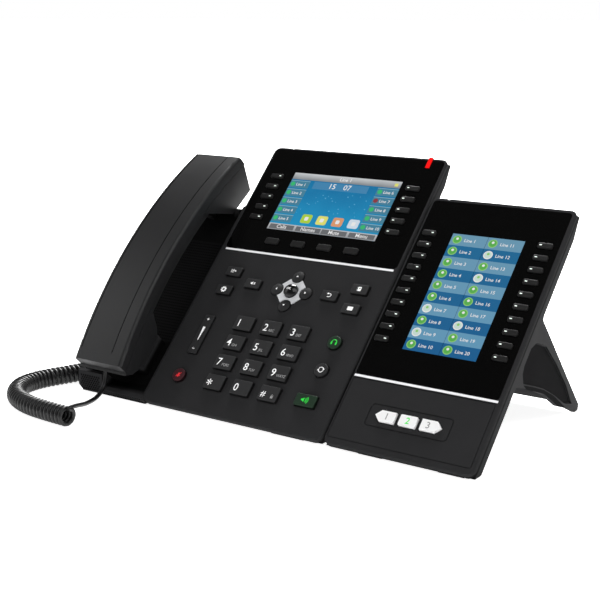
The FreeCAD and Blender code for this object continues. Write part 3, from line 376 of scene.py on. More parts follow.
for soft_box_facts in (
    ("soft_box_top", (0.9, -0.5, 1.5), 1.2, 14.0),
    ("soft_box_left", (-1.5, -0.7, 0.9), 1.0, 6.0),
    ("soft_box_right", (1.5, 0.3, 0.7), 0.8, 3.5),
    ("soft_box_back", (-0.6, 1.3, 1.5), 0.9, 90.0),
):
    soft_box(*soft_box_facts)

# %% [markdown]
# ## Plastics and metals
# Nearly everything is black moulded plastic, but not one black: the face is matte
# with a fine spark texture, the panels round the screens are polished, the handset
# is satin, the keys a little smoother than the face. One helper builds them all:
# two noise patterns on the piece's own coordinates, a fine one for the grain's
# bump and a broad one that shifts the colour and roughness a little, as on any
# moulding. Seen at a low angle, a dark wall mirrors the white floor and turns grey,
# so the matte plastics get very little shine.
#
# The narrow gaps round the keys look blacker than the lamps leave them. So a
# finish can also carry painted shade by height above the face: nearly black at a
# gap's floor, and at full strength near its top.

# %% A helper for colours


def colour(*screen_values):
    """A shader's colour from three screen values of 0 to 255, by the sRGB rule."""
    shares = [value / 255 for value in screen_values]
    linear = [s / 12.92 if s <= 0.04045 else ((s + 0.055) / 1.055) ** 2.4 for s in shares]
    return (*linear, 1.0)


# %% A helper that paints shade into a finish by height
PAINTED_SHADE_AT_ROOT = 0.12


def painted_shade_by_height(finish, place, tint, heights):
    """Paints shade into a colour: darker towards the root of a key or the floor of a
    recess.
    """
    nodes, links = finish.node_tree.nodes, finish.node_tree.links
    outward = (FACE.to_3x3() @ UP).normalized()
    start = FACE.translation.dot(outward)
    height = nodes.new("ShaderNodeVectorMath")
    height.operation = "DOT_PRODUCT"
    height.inputs[1].default_value = outward
    links.new(place.outputs["Object"], height.inputs[0])
    low, high = (start + height_mm * MM for height_mm in heights)
    fade = nodes.new("ShaderNodeMapRange")
    put(fade, From_Min=low, From_Max=high, To_Min=PAINTED_SHADE_AT_ROOT)
    links.new(height.outputs["Value"], fade.inputs["Value"])
    darken = nodes.new("ShaderNodeMix")
    darken.data_type = "RGBA"
    put(darken, A=(0.0, 0.0, 0.0, 1.0))
    links.new(tint.outputs["Result"], darken.inputs["B"])
    links.new(fade.outputs["Result"], darken.inputs["Factor"])
    links.new(darken.outputs["Result"], nodes["Principled BSDF"].inputs["Base Color"])


# %% A helper for moulded finishes
GRAIN_DETAIL, BROAD_DETAIL = 3.0, 4.0
BROAD_SCALE = 38.0
BUMP_HEIGHT = 0.05
ROUGHNESS_SWING = 0.06
SMOOTHEST = 0.02


def moulded(name, screen_values, roughness, grain=0.45, bump=0.25, mottle=0.12, shine=0.3,
            shade=None, **extra):
    """A plastic or metal finish; grain is the size of its texture in millimetres.

    Shade is two heights above the face in millimetres, for painted shade: below the
    first one the colour is nearly black, and it reaches its full strength at the second.
    """
    base = colour(*screen_values)[:3]
    finish, nodes, links = new_finish(name)
    shader = put(nodes["Principled BSDF"], Specular_IOR_Level=shine, **extra)
    place = nodes.new("ShaderNodeTexCoord")
    fine, broad = (nodes.new("ShaderNodeTexNoise") for _ in range(2))
    put(fine, Scale=1 / (grain * MM), Detail=GRAIN_DETAIL)
    put(broad, Scale=BROAD_SCALE, Detail=BROAD_DETAIL)
    links.new(place.outputs["Object"], fine.inputs["Vector"])
    links.new(place.outputs["Object"], broad.inputs["Vector"])
    lift = put(nodes.new("ShaderNodeBump"), Strength=bump, Distance=BUMP_HEIGHT * MM)
    links.new(fine.outputs["Fac"], lift.inputs["Height"])
    links.new(lift.outputs["Normal"], shader.inputs["Normal"])
    tint = nodes.new("ShaderNodeMix")
    tint.data_type = "RGBA"
    darker = [c * (1 - mottle) for c in base]
    lighter = [min(c * (1 + mottle), 1) for c in base]
    put(tint, A=(*darker, 1.0), B=(*lighter, 1.0))
    links.new(broad.outputs["Fac"], tint.inputs["Factor"])
    links.new(tint.outputs["Result"], shader.inputs["Base Color"])
    if shade:
        painted_shade_by_height(finish, place, tint, shade)
    wear = nodes.new("ShaderNodeMapRange")
    put(wear, To_Min=max(roughness - ROUGHNESS_SWING, SMOOTHEST),
        To_Max=min(roughness + ROUGHNESS_SWING, 1.0))
    links.new(broad.outputs["Fac"], wear.inputs["Value"])
    links.new(wear.outputs["Result"], shader.inputs["Roughness"])
    return finish


# %% The finishes of the housings
# Painted shade: the faces' frame sides, cove and trough darken below these heights, nearly
# black at the trough's floor.
FACE_SHADE, MODULE_FACE_SHADE = (-4.4, -1.4), (-2.6, -0.9)
face_black = moulded(
    "face_black_matte", (41, 41, 42), 0.66, grain=0.5, shine=0.03,
    shade=FACE_SHADE
)
module_face_black = moulded(
    "module_face_black_matte", (41, 41, 42), 0.66, grain=0.5, shine=0.03,
    shade=MODULE_FACE_SHADE
)
shell_black = moulded(
    "shell_black_matte", (30, 30, 31), 0.6, grain=0.6, bump=0.35, shine=0.05
)
# Painted shade for the stands' sunk web fields and their lower rims.
web_painted_shade = moulded(
    "web_painted_shade_matte", (11, 11, 12), 0.75, grain=0.6, bump=0.35, shine=0.02
)
sheet_black = moulded("sheet_black", (13, 13, 14), 0.6, grain=0.6, bump=0.2, shine=0.05)
# Painted shade: the black inside the grilles' holes and in the handset's grooves.
hole_shade_black = moulded("hole_shade_black", (1, 1, 1), 0.95, bump=0.02, shine=0.0)
panel_black = moulded(
    "panel_black_polished", (2, 2, 2), 0.09, grain=6.0, bump=0.02,
    mottle=0.3, shine=0.2
)
module_panel_black = moulded(
    "module_panel_black_polished", (3, 3, 3), 0.09, grain=6.0, bump=0.02,
    mottle=0.3, shine=0.2
)
handset_black = moulded("handset_black_satin", (26, 26, 27), 0.42, grain=0.7, bump=0.2)

# %% The finishes of the keys
# Painted shade: the keys darken towards their roots, below these heights above the face.
KEY_SHADE, LOW_KEY_SHADE = (1.7, 2.2), (0.6, 1.1)
key_black = moulded(
    "key_black", (36, 36, 37), 0.6, grain=0.4, bump=0.2, shine=0.2,
    shade=KEY_SHADE
)
key_green = moulded(
    "key_green_tint", (22, 44, 28), 0.5, bump=0.15, shine=0.2, shade=KEY_SHADE
)
key_red = moulded(
    "key_red_tint", (58, 22, 28), 0.5, bump=0.15, shine=0.2, shade=KEY_SHADE
)
low_key_black = moulded(
    "low_key_black", (36, 36, 37), 0.55, grain=0.4, bump=0.2, shine=0.2,
    shade=LOW_KEY_SHADE
)
bar_key_grey = moulded(
    "bar_key_smoke", (27, 27, 27), 0.4, grain=0.8, bump=0.1, shine=0.15
)
page_key_white = moulded("page_key_white", (236, 236, 236), 0.4, bump=0.1, mottle=0.03)
print("finishes so far:", len(bpy.data.materials))

# %% The finishes of trims, lenses and inner parts
trim_silver = moulded("trim_silver", (240, 240, 242), 0.35, bump=0.05, mottle=0.03)
chrome = moulded(
    "navigation_chrome", (232, 233, 236), 0.3, grain=0.9, bump=0.01, mottle=0.04,
    Metallic=0.4,
)
ball_black = moulded("ball_black_polished", (12, 12, 13), 0.12, bump=0.03)
foot_rubber = moulded("foot_rubber", (24, 24, 24), 0.85, grain=0.8, bump=0.5)
cord_black = moulded("cord_black_vinyl", (17, 17, 18), 0.38, grain=0.6, bump=0.15)
red_lens = moulded(
    "alert_red_lens", (205, 12, 12), 0.3, bump=0.02, mottle=0.05, shine=0.1,
    Emission_Color=colour(225, 12, 12), Emission_Strength=0.5,
)
board_green = moulded("board_green", (20, 70, 45), 0.45, grain=2.0, bump=0.2)
mat_grey = moulded("mat_silicone", (90, 92, 94), 0.7, grain=1.2, bump=0.3)
steel = moulded("screw_steel", (190, 190, 194), 0.3, grain=0.3, bump=0.1, Metallic=1.0)
plug_clear = moulded("plug_smoke", (60, 60, 62), 0.2, bump=0.05, mottle=0.05)
glass_black = moulded("display_glass", (5, 6, 7), 0.06, grain=8.0, bump=0.01)

# %% Hand the finishes to the CAD pieces
FINISHES = (
    (face_black, "front_housing"),
    (module_face_black, "module_front_housing"),
    (shell_black, "rear_housing module_rear_housing stand module_stand"),
    (shell_black, "receiver_capsules"),
    (panel_black, "display_panel"),
    (module_panel_black, "module_display_panel"),
    (glass_black, "display_module module_display"),
    (red_lens, "alert_light"),
    (chrome, "navigation_plate"),
    (mat_grey, "key_mat"),
    (steel, "loudspeaker housing_screws"),
    (trim_silver, "trim_strips"),
    (board_green, "circuit_boards"),
    (foot_rubber, "rubber_feet"),
    (plug_clear, "base_plug"),
    (handset_black, "handset_back handset_front"),
    (ball_black, "key_ok"),
    (low_key_black, "key_up key_left key_down key_right volume_rocker"),
    (key_green, "key_headset key_speaker"),
    (key_red, "key_microphone_off"),
    (bar_key_grey, "line_keys soft_keys module_line_keys"),
    (page_key_white, "key_page_1 key_page_2 key_page_3"),
    (cord_black, "cord_lead cord_coil cord_tail"),
)
finish_of = {node: finish for finish, nodes in FINISHES for node in nodes.split()}
for node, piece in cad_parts.items():
    piece.data.materials.clear()
    piece.data.materials.append(finish_of.get(node, key_black))
for piece in (curly_cord, cord_to_handset):
    piece.data.materials.clear()
    piece.data.materials.append(cord_black)
print("nodes with a finish:", len(finish_of))

# %% [markdown]
# ## Perforated sheets
# The loudspeaker sits under the trough, behind a sheet with rows of fine holes, and
# the tall end of the sill has a coarser pattern set like a diamond net. Hundreds of
# real holes would be heavy and too small to see into, so flat black dots of painted
# shade stand for them. One dot is drawn and repeated by two array modifiers.
#
# The sheet itself is a cube shaped in edit mode: its edges are picked in code, by a
# test on their place, and bevelled.

# %% Helpers that model a flat plate
SAME_HEIGHT = 1e-4
CORNER_STEPS, RIM_STEPS = 4, 2


def bevel_edges(piece, width, steps, wanted):
    """Bevels only those edges whose two ends pass the test."""
    select_only(piece)
    bpy.ops.object.mode_set(mode="EDIT")
    bpy.ops.mesh.select_mode(type="EDGE")
    bpy.ops.mesh.select_all(action="DESELECT")
    bpy.ops.object.mode_set(mode="OBJECT")
    points = [v.co for v in piece.data.vertices]
    for edge in piece.data.edges:
        edge.select = wanted(points[edge.vertices[0]], points[edge.vertices[1]])
    bpy.ops.object.mode_set(mode="EDIT")
    bpy.ops.mesh.bevel(offset=width, segments=steps, affect="EDGES")
    bpy.ops.object.mode_set(mode="OBJECT")


def plate(x0, x1, y0, y1, z0, z1, corner=0.0, edge=0.0):
    """A flat block on the workbench, with rounded corners and a softened top rim."""
    middle = ((x0 + x1) / 2, (y0 + y1) / 2, (z0 + z1) / 2)
    deselect()
    bpy.ops.mesh.primitive_cube_add(
        size=1.0, location=middle, scale=(x1 - x0, y1 - y0, z1 - z0)
    )
    piece = bpy.context.object
    bpy.ops.object.transform_apply(location=True, rotation=True, scale=True)
    if corner:
        bevel_edges(piece, corner, CORNER_STEPS, lambda a, b: abs(a.z - b.z) > SAME_HEIGHT)
    if edge:
        bevel_edges(piece, edge, RIM_STEPS, lambda a, b: min(a.z, b.z) > z1 - SAME_HEIGHT)
    return piece


# %% Helpers that join and finish a piece


def join_pieces(pieces):
    """Joins all the pieces into the first one."""
    deselect()
    for piece in pieces:
        piece.select_set(True)
    bpy.context.view_layer.objects.active = pieces[0]
    if len(pieces) > 1:
        bpy.ops.object.join()
    return bpy.context.object


def finish_piece(piece, name, body, finish, matrix=FACE):
    """Stands a mesh up on the face and gives it a name, a finish and a body."""
    piece.data.transform(matrix)
    piece.name = piece.data.name = name
    if finish is not None:
        piece.data.materials.clear()
        piece.data.materials.append(finish)
    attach(piece, body)
    return piece


# %% A grid of small round holes
HOLE_SIDES = 8
HOLE_THICK = 0.04


def hole_grid(columns, rows, step_x, step_y, radius, first):
    """Dark round dots of painted shade in rows, which read as the holes of a perforated
    sheet.
    """
    deselect()
    bpy.ops.mesh.primitive_cylinder_add(
        vertices=HOLE_SIDES, radius=radius, depth=HOLE_THICK, location=first
    )
    dots = bpy.context.object
    bpy.ops.object.transform_apply(location=True, rotation=True, scale=True)
    for count, step in ((columns, (step_x, 0.0, 0.0)), (rows, (0.0, step_y, 0.0))):
        bpy.ops.object.modifier_add(type="ARRAY")
        repeat = dots.modifiers[-1]
        repeat.count = count
        repeat.use_relative_offset = False
        repeat.use_constant_offset = True
        repeat.constant_offset_displace = step
        bpy.ops.object.modifier_apply(modifier=repeat.name)
    return dots


# %% The loudspeaker's sheet on the trough's floor
TROUGH_FLOOR = -9.0
SHEET_THICK, SHEET_CORNER = 0.06, 3.0
SHEET_X, SHEET_Y = (-199.0, -159.4), (53.5, 144.5)
HOLE_COLUMNS, HOLE_ROWS = 20, 37
FIRST_HOLE = (-197.4, 55.6, TROUGH_FLOOR + 0.07)

sheet = plate(
    *SHEET_X, *SHEET_Y, TROUGH_FLOOR, TROUGH_FLOOR + SHEET_THICK, corner=SHEET_CORNER
)
finish_piece(sheet, "loudspeaker_sheet", "root", sheet_black)
holes = hole_grid(HOLE_COLUMNS, HOLE_ROWS, 1.9, 2.4, 0.55, FIRST_HOLE)
finish_piece(holes, "loudspeaker_holes", "root", hole_shade_black)
print("loudspeaker holes:", HOLE_COLUMNS * HOLE_ROWS)

# %% The net on the sill's upright front
SILL_Y = 1.6
FRONT = (
    Matrix.Translation(FACE.translation + Vector((0.0, SILL_Y * MM, 0.0)))
    @ Matrix.Rotation(math.radians(90.0), 4, "X")
    @ Matrix.Scale(MM, 4)
)
# Each grid has its columns, rows, two steps, radius and first hole.
SILL_GRIDS = (
    (9, 4, 2.2, 3.2, 0.72, (-210.6, -1.0, 0.03)),
    (8, 3, 2.2, 3.2, 0.72, (-209.5, 0.6, 0.03)),
    (22, 2, 1.7, 1.5, 0.42, (-187.5, -2.0, 0.03)),
)
net = join_pieces([hole_grid(*grid) for grid in SILL_GRIDS])
finish_piece(net, "sill_holes", "root", hole_shade_black, matrix=FRONT)
print("sill holes:", sum(columns * rows for columns, rows, *_ in SILL_GRIDS))

# %% [markdown]
# ## Flat marks
# Legends, icons and the pictures on the screens are all flat marks a few hundredths
# of a millimetre thick. Three kinds are enough: letters, filled outlines and lines
# of one width. Each is drawn as a curve, made a mesh at once, and only then moved,
# so that its place is in its mesh like every other piece's.

# %% Helpers for flat marks
MARK = 0.03
LETTER_STEPS = 3


def letters(text, size, x, y, z, align="LEFT", heavier=0.008, narrower=1.0):
    """Words with their baseline at y, a mark's thickness above z."""
    deselect()
    bpy.ops.object.text_add()
    item = bpy.context.object
    item.data.body = text
    item.data.size = size
    item.data.align_x = align
    item.data.resolution_u = LETTER_STEPS
    item.data.extrude = MARK / 2
    item.data.offset = heavier * size
    item = to_mesh(item)
    item.data.transform(Matrix.Diagonal((narrower, 1.0, 1.0, 1.0)))
    item.data.transform(Matrix.Translation((x, y, z + MARK / 2)))
    return item


def straight_curve(name, strips, closed):
    """A curve with straight sides through each strip of points; flat if closed."""
    curve = bpy.data.curves.new(name, "CURVE")
    curve.dimensions = "2D" if closed else "3D"
    for points in strips:
        spline = curve.splines.new("POLY")
        spline.points.add(len(points) - 1)
        for control, place in zip(spline.points, points):
            control.co = (*Vector(place).to_3d(), 1.0)
        spline.use_cyclic_u = closed
    item = bpy.data.objects.new(name, curve)
    bpy.context.scene.collection.objects.link(item)
    return item


def filled(outlines, x=0.0, y=0.0, z=0.0):
    """Filled outlines; one that lies inside another is a hole in it."""
    item = straight_curve("outline", outlines, closed=True)
    item.data.fill_mode = "BOTH"
    item.data.extrude = MARK / 2
    item = to_mesh(item)
    item.data.transform(Matrix.Translation((x, y, z + MARK / 2)))
    return item


def line(points, width, x=0.0, y=0.0, z=0.0):
    """A line of one width through the points, flattened to a mark's thickness."""
    item = straight_curve("stroke", [points], closed=False)
    item.data.bevel_depth = width / 2
    item.data.bevel_resolution = 1
    item.data.use_fill_caps = True
    item = to_mesh(item)
    item.data.transform(Matrix.Diagonal((1.0, 1.0, MARK / width, 1.0)))
    item.data.transform(Matrix.Translation((x, y, z + MARK / 2)))
    return item


# %% Helpers for outlines
DOT_SIDES = 20
QUARTER_SIDES = 4


def ring(radius, start=0.0, stop=360.0, sides=DOT_SIDES):
    """Points round an arc, in degrees from the right, the other way from a clock."""
    turns = [math.radians(start + (stop - start) * i / sides) for i in range(sides + 1)]
    return [(radius * math.cos(t), radius * math.sin(t)) for t in turns]


def oblong(width, height, corner=0.0):
    """A rectangle's outline round the middle, with rounded corners if wanted."""
    half_x, half_y = width / 2, height / 2
    if not corner:
        return [(-half_x, -half_y), (half_x, -half_y), (half_x, half_y), (-half_x, half_y)]
    outline = []
    for sx, sy, first in ((1, 1, 0), (-1, 1, 90), (-1, -1, 180), (1, -1, 270)):
        for px, py in ring(corner, first, first + 90, QUARTER_SIDES):
            outline.append((sx * (half_x - corner) + px, sy * (half_y - corner) + py))
    return outline


def moved(outline, dx, dy):
    """The same outline at another place."""
    return [(px + dx, py + dy) for px, py in outline]


print("sides of a full circle:", len(ring(1.0)) - 1)

# %% [markdown]
# ## Painted shade in the webs, and groove shadows
# The side web of each stand has a sunk field that looks darker than its frame, and
# the handset's arched back has two cut grooves that look like thin dark lines. Soft
# light reaches into such shallow cuts, so painted shade is laid as a thin dark sheet
# in each field and along its lower rim, and as a thin dark bead in each groove. The
# sheets are filled outlines that a matrix stands on edge.

# %% Painted shade in the stands' webs
WEB_SHADE_FIELD = [
    (80.6, -26.2), (84.4, -20.0), (92.1, -17.1), (101.8, -18.1), (109.0, -22.4),
    (115.9, -38.2), (117.2, -62.0), (116.4, -88.0), (113.3, -106.2), (107.5, -97.0),
    (102.0, -76.0), (96.0, -58.0), (88.6, -42.0),
]
WEB_RIM_SHADE = [
    (110.4, -108.6), (106.0, -101.0), (101.0, -76.0), (95.0, -58.0), (87.6, -42.0),
    (79.8, -26.6), (80.4, -33.0), (93.0, -59.4), (99.4, -86.6), (107.8, -104.2),
]
WEB_DEPTH = 1.2
WEB_SIDES = (-30.0, 109.8)


def web_side(x):
    """The matrix that stands a flat mark up on a web, facing right."""
    return FACE @ Matrix(((0, 0, 1, x), (1, 0, 0, 0), (0, 1, 0, 0), (0, 0, 0, 1)))


for number, side in enumerate(WEB_SIDES, start=1):
    for name, outline, depth in (("shade_field", WEB_SHADE_FIELD, WEB_DEPTH), ("rim", WEB_RIM_SHADE, 0.0)):
        finish_piece(filled([outline]), f"web_{name}_{number}", "root", web_painted_shade,
                     matrix=web_side(side - depth))
print("webs with a dark field:", len(WEB_SIDES))

# %% Shadow lines in the handset's two grooves
HANDSET_ARC = ((11.0, 24.5), (109.0, 36.0), (207.0, 19.5))
GROOVES_X = (-202.4, -172.6)
GROOVE_START, GROOVE_REACH, GROOVE_STEPS = 20.0, 185.5, 40
GROOVE_BEAD, GROOVE_SINK = 0.3, 0.27


def back_height(y):
    """The height of the handset's arched back above the face at a place along it.

    The back is an arc through three points, so its centre comes from two equations.
    """
    (ya, za), (yb, zb), (yc, zc) = HANDSET_ARC
    ends = Matrix(((yb - ya, zb - za), (yc - yb, zc - zb)))
    sums = Vector(((yb * yb - ya * ya + zb * zb - za * za) / 2,
                   (yc * yc - yb * yb + zc * zc - zb * zb) / 2))
    centre = ends.inverted() @ sums
    radius = (Vector((ya, za)) - centre).length
    return centre.y + math.sqrt(radius * radius - (y - centre.x) ** 2)


def groove_line(x):
    """A thin dark bead of painted shadow that follows the arched back inside its groove."""
    steps = range(GROOVE_STEPS + 1)
    stations = [GROOVE_START + GROOVE_REACH * i / GROOVE_STEPS for i in steps]
    points = [(x, y, back_height(y) - GROOVE_SINK) for y in stations]
    item = straight_curve("groove", [points], closed=False)
    item.data.bevel_depth = GROOVE_BEAD
    item.data.bevel_resolution = 1
    return to_mesh(item)


grooves = join_pieces([groove_line(x) for x in GROOVES_X])
finish_piece(grooves, "handset_groove_shadows", "handset", hole_shade_black)
print("top of the back, mm:", round(back_height(HANDSET_ARC[1][0]), 2))

# %% [markdown]
# ## Legends on the keys
# A telephone's legends are printed or laser-cut into each key's top, so each mark
# rides on its own key and goes down with it. The digits stand at the left of their
# keys with the small letters low on the right; the other keys carry small icons.

# %% Inks, three of them with a painted glow
# The print is the inks' own colour; the white, green and red inks also glow a little, as
# painted light that keeps the print bright.
ink_white_painted_glow = moulded("ink_white_painted_glow", (232, 232, 232), 0.5, bump=0.02, mottle=0.04,
                    Emission_Color=colour(220, 220, 220), Emission_Strength=0.25)
ink_grey = moulded("ink_grey", (150, 150, 150), 0.5, bump=0.02, mottle=0.04)
ink_green_painted_glow = moulded("ink_green_painted_glow", (40, 190, 60), 0.5, bump=0.02, mottle=0.05,
                    Emission_Color=colour(30, 190, 50), Emission_Strength=0.45)
ink_red_painted_glow = moulded("ink_red_painted_glow", (200, 40, 45), 0.5, bump=0.02, mottle=0.05,
                  Emission_Color=colour(200, 30, 35), Emission_Strength=0.35)
ink_dark = moulded("ink_dark", (20, 20, 20), 0.5, bump=0.02)


def paint(item, finish):
    """Gives a mark its ink, before several marks are joined."""
    item.data.materials.clear()
    item.data.materials.append(finish)
    return item


# %% Digits
KEY_RISE = 2.4
MARK_LIFT = 0.005
LEGEND_TOP = KEY_RISE + MARK_LIFT
DIGIT_X = (-96.15, -72.55, -48.95)
DIGIT_Y = (74.1, 57.65, 41.2, 24.75)
DIGIT_INSET, DIGIT_DROP = 5.9, 3.1
# A sign's size, how much lower it stands, and how much heavier and narrower it is.
DIGIT_SIGN = (8.2, 0.0, 0.003, 0.93)
OTHER_SIGNS = {"*": (11.0, 3.2, 0.004, 1.0), "#": (6.4, 0.0, 0.004, 1.0)}
SIGN_NAMES = {"*": "star", "#": "hash"}
SMALL_LETTERS = {"2": "ABC", "3": "DEF", "4": "GHI", "5": "JKL", "6": "MNO",
                 "7": "PQRS", "8": "TUV", "9": "WXYZ"}
SMALL_SIZE, SMALL_INSET, SMALL_NARROWER = 2.9, 0.9, 0.88
LOCK_RIGHT, LOCK_DROP = 3.6, 2.0


def lock_mark(x, y):
    """A small padlock: a filled body and a bent line over it."""
    shackle = [(-0.6, 0.0), (-0.6, 1.1), (0.0, 1.6), (0.6, 1.1), (0.6, 0.0)]
    return [paint(filled([oblong(2.0, 1.6, 0.2)], x, y - 0.5, LEGEND_TOP), ink_grey),
            paint(line(shackle, 0.35, x, y, LEGEND_TOP), ink_grey)]


for i, sign in enumerate("123456789*0#"):
    x, y = DIGIT_X[i % 3], DIGIT_Y[i // 3]
    size, drop, heavier, narrower = OTHER_SIGNS.get(sign, DIGIT_SIGN)
    marks = [paint(letters(sign, size, x - DIGIT_INSET, y - DIGIT_DROP - drop, LEGEND_TOP,
                           heavier=heavier, narrower=narrower), ink_white_painted_glow)]
    if sign == "#":
        marks += lock_mark(x + LOCK_RIGHT, y - LOCK_DROP)
    if sign in SMALL_LETTERS:
        marks.append(paint(letters(SMALL_LETTERS[sign], SMALL_SIZE, x - SMALL_INSET,
                                   y - DIGIT_DROP, LEGEND_TOP, narrower=SMALL_NARROWER),
                           ink_grey))
    node = "key_" + SIGN_NAMES.get(sign, sign)
    finish_piece(join_pieces(marks), "legend_" + node, node, None)
print("keys with small letters:", len(SMALL_LETTERS))

# %% Shapes that several icons share
GEAR_TIP, GEAR_ROOT = 2.5, 1.75
GEAR = []
for i in range(24):
    reach, turn = GEAR_TIP if i % 3 else GEAR_ROOT, math.radians(15 * i)
    GEAR.append((reach * math.cos(turn), reach * math.sin(turn)))
HORN = [(-1.6, -0.6), (-0.8, -0.6), (0.2, -1.5), (0.2, 1.5), (-0.8, 0.6), (-1.6, 0.6)]
print("points of the gear:", len(GEAR))

# %% A helper that makes one key's icon
FILL = 0.0


def icon(node, x, y, ink, *shapes):
    """One key's marks; each has a line's width or FILL, its points, maybe its ink."""
    marks = []
    for width, points, *own_ink in shapes:
        if width == FILL:
            item = filled(points, x, y, LEGEND_TOP)
        else:
            item = line(points, width, x, y, LEGEND_TOP)
        marks.append(paint(item, *own_ink or [ink]))
    finish_piece(join_pieces(marks), "legend_" + node, node, None)


# %% Icons beside the navigation keys
icon(
    "key_transfer", -127.4, 115.4, ink_white_painted_glow,
    (0.5, [(-2.0, -1.4), (-2.0, 1.4)]),
    (0.5, moved(ring(1.7, 120, 240, 8), 1.0, 0.0)),
    (0.45, [(-0.2, 0.2), (2.0, 0.2)]),
    (FILL, [[(1.2, 1.1), (2.4, 0.2), (1.2, -0.7)]]),
)
icon("key_settings", -128.0, 98.9, ink_white_painted_glow, (FILL, [GEAR, ring(0.95, sides=12)[:-1]]))
icon(
    "key_silence", -105.9, 107.5, ink_white_painted_glow,
    (FILL, [HORN]),
    (0.45, [(0.9, -0.9), (2.3, 0.9)]),
    (0.45, [(0.9, 0.9), (2.3, -0.9)]),
)
icon(
    "key_return", -39.0, 107.3, ink_white_painted_glow,
    (0.5, moved(ring(1.3, -90, 90, 10), 0.3, 0.0)),
    (0.5, [(0.3, 1.3), (-1.0, 1.3)]),
    (0.5, [(0.3, -1.3), (-1.2, -1.3)]),
    (FILL, [[(-0.9, 2.2), (-2.1, 1.3), (-0.9, 0.4)]]),
)
icon(
    "key_directory", -17.7, 115.8, ink_white_painted_glow,
    (FILL, [oblong(2.6, 3.4, 0.3), moved(ring(0.55, sides=10)[:-1], 0.1, 0.5)]),
    (0.35, [(-0.7, -0.9), (0.9, -0.9)], ink_dark),
    (0.4, [(-1.9, 1.0), (-1.3, 1.0)]),
    (0.4, [(-1.9, -1.0), (-1.3, -1.0)]),
)
icon(
    "key_message", -18.0, 99.4, ink_white_painted_glow,
    (FILL, [oblong(4.4, 3.0, 0.2)]),
    (0.3, [(-2.0, 1.3), (0.0, -0.3), (2.0, 1.3)], ink_dark),
)

# %% Icons beside the digits
icon(
    "key_microphone_off", -128.3, 24.6, ink_red_painted_glow,
    (FILL, [oblong(1.5, 2.8, 0.7)]),
    (0.4, ring(1.5, 180, 360, 10)),
    (0.4, [(0.0, -1.5), (0.0, -2.3)]),
    (0.45, [(-1.8, -1.8), (1.9, 1.9)]),
)
icon(
    "key_headset", -18.0, 71.8, ink_green_painted_glow,
    (0.5, ring(1.9, 0, 180, 12)),
    (FILL, [moved(oblong(1.1, 2.2, 0.3), -1.8, -0.9)]),
    (FILL, [moved(oblong(1.1, 2.2, 0.3), 1.8, -0.9)]),
)
icon(
    "key_redial", -18.2, 49.6, ink_white_painted_glow,
    (0.45, ring(1.9, 25, 165, 12)),
    (0.45, ring(1.9, 205, 345, 12)),
    (FILL, [[(2.7, 0.9), (1.0, 0.9), (1.9, -0.3)]]),
    (FILL, [[(-2.7, -0.9), (-1.0, -0.9), (-1.9, 0.3)]]),
)
icon(
    "key_speaker", -19.2, 25.5, ink_green_painted_glow,
    (FILL, [moved([(1.25 * px, 1.15 * py) for px, py in HORN], -1.2, 0.0)]),
    (0.45, moved(ring(1.6, -48, 48, 8), -1.2, 0.0)),
    (0.45, moved(ring(2.5, -46, 46, 8), -1.2, 0.0)),
    (0.45, moved(ring(3.4, -44, 44, 8), -1.2, 0.0)),
)

# %% Plus, minus and wedge on the rocker
ROCKER_X, ROCKER_Y, ROCKER_RISE = -127.85, 59.8, 2.0
ROCKER_AT = (ROCKER_X, ROCKER_Y, ROCKER_RISE + MARK_LIFT)
SIGN_WIDTH = 0.5
PLUS_AND_MINUS = (
    [(-1.0, 12.6), (1.0, 12.6)], [(0.0, 11.6), (0.0, 13.6)], [(-1.0, -12.6), (1.0, -12.6)],
)
WEDGE = [(-0.25, -5.4), (0.25, -5.4), (1.1, 6.0), (-1.1, 6.0)]
rocker_marks = [line(points, SIGN_WIDTH, *ROCKER_AT) for points in PLUS_AND_MINUS]
rocker_marks.append(filled([WEDGE], *ROCKER_AT))
for item in rocker_marks:
    paint(item, ink_white_painted_glow)
finish_piece(join_pieces(rocker_marks), "legend_volume", "volume_rocker", None)
print("rocker marks:", len(PLUS_AND_MINUS) + 1)

# %% Arrow heads and the word on the ball
NAV_X, NAV_Y, NAV_RADIUS, ARROW_RISE = -71.8, 106.6, 12.5, 1.8
ARROW_HEAD = [(-1.0, -0.6), (1.0, -0.6), (0.0, 0.7)]
ARROW_TURNS = {"key_up": 0, "key_left": 90, "key_down": 180, "key_right": 270}
for node, turn in ARROW_TURNS.items():
    angle = math.radians(turn)
    outline = [(px * math.cos(angle) - py * math.sin(angle),
                px * math.sin(angle) + py * math.cos(angle)) for px, py in ARROW_HEAD]
    item = filled([outline], NAV_X - NAV_RADIUS * math.sin(angle),
                  NAV_Y + NAV_RADIUS * math.cos(angle), ARROW_RISE + MARK_LIFT)
    finish_piece(item, "legend_" + node, node, ink_white_painted_glow)

OK_SIZE, OK_DROP, OK_TOP = 2.5, 0.9, 5.0
item = letters("OK", OK_SIZE, NAV_X, NAV_Y - OK_DROP, OK_TOP, "CENTER")
finish_piece(item, "legend_key_ok", "key_ok", ink_white_painted_glow)
print("arrow keys:", len(ARROW_TURNS))

# %% Digits on the page keys
PAGE_Y, PAGE_RISE = 26.4, 1.8
PAGE_SIZE, PAGE_DROP = 6.4, 2.2
for digit, x, ink in (
    ("1", 43.0, ink_grey), ("2", 58.35, ink_green_painted_glow), ("3", 73.0, ink_grey),
):
    node = "key_page_" + digit
    item = letters(digit, PAGE_SIZE, x, PAGE_Y - PAGE_DROP, PAGE_RISE + MARK_LIFT, "CENTER")
    finish_piece(item, "legend_" + node, node, ink)

# %% [markdown]
# ## Lamps on the line keys
# Each line key is a smoked bar with a small white lamp at the end that is nearer
# the screen. The lamps are tiny raised lenses, joined into one piece a key group.

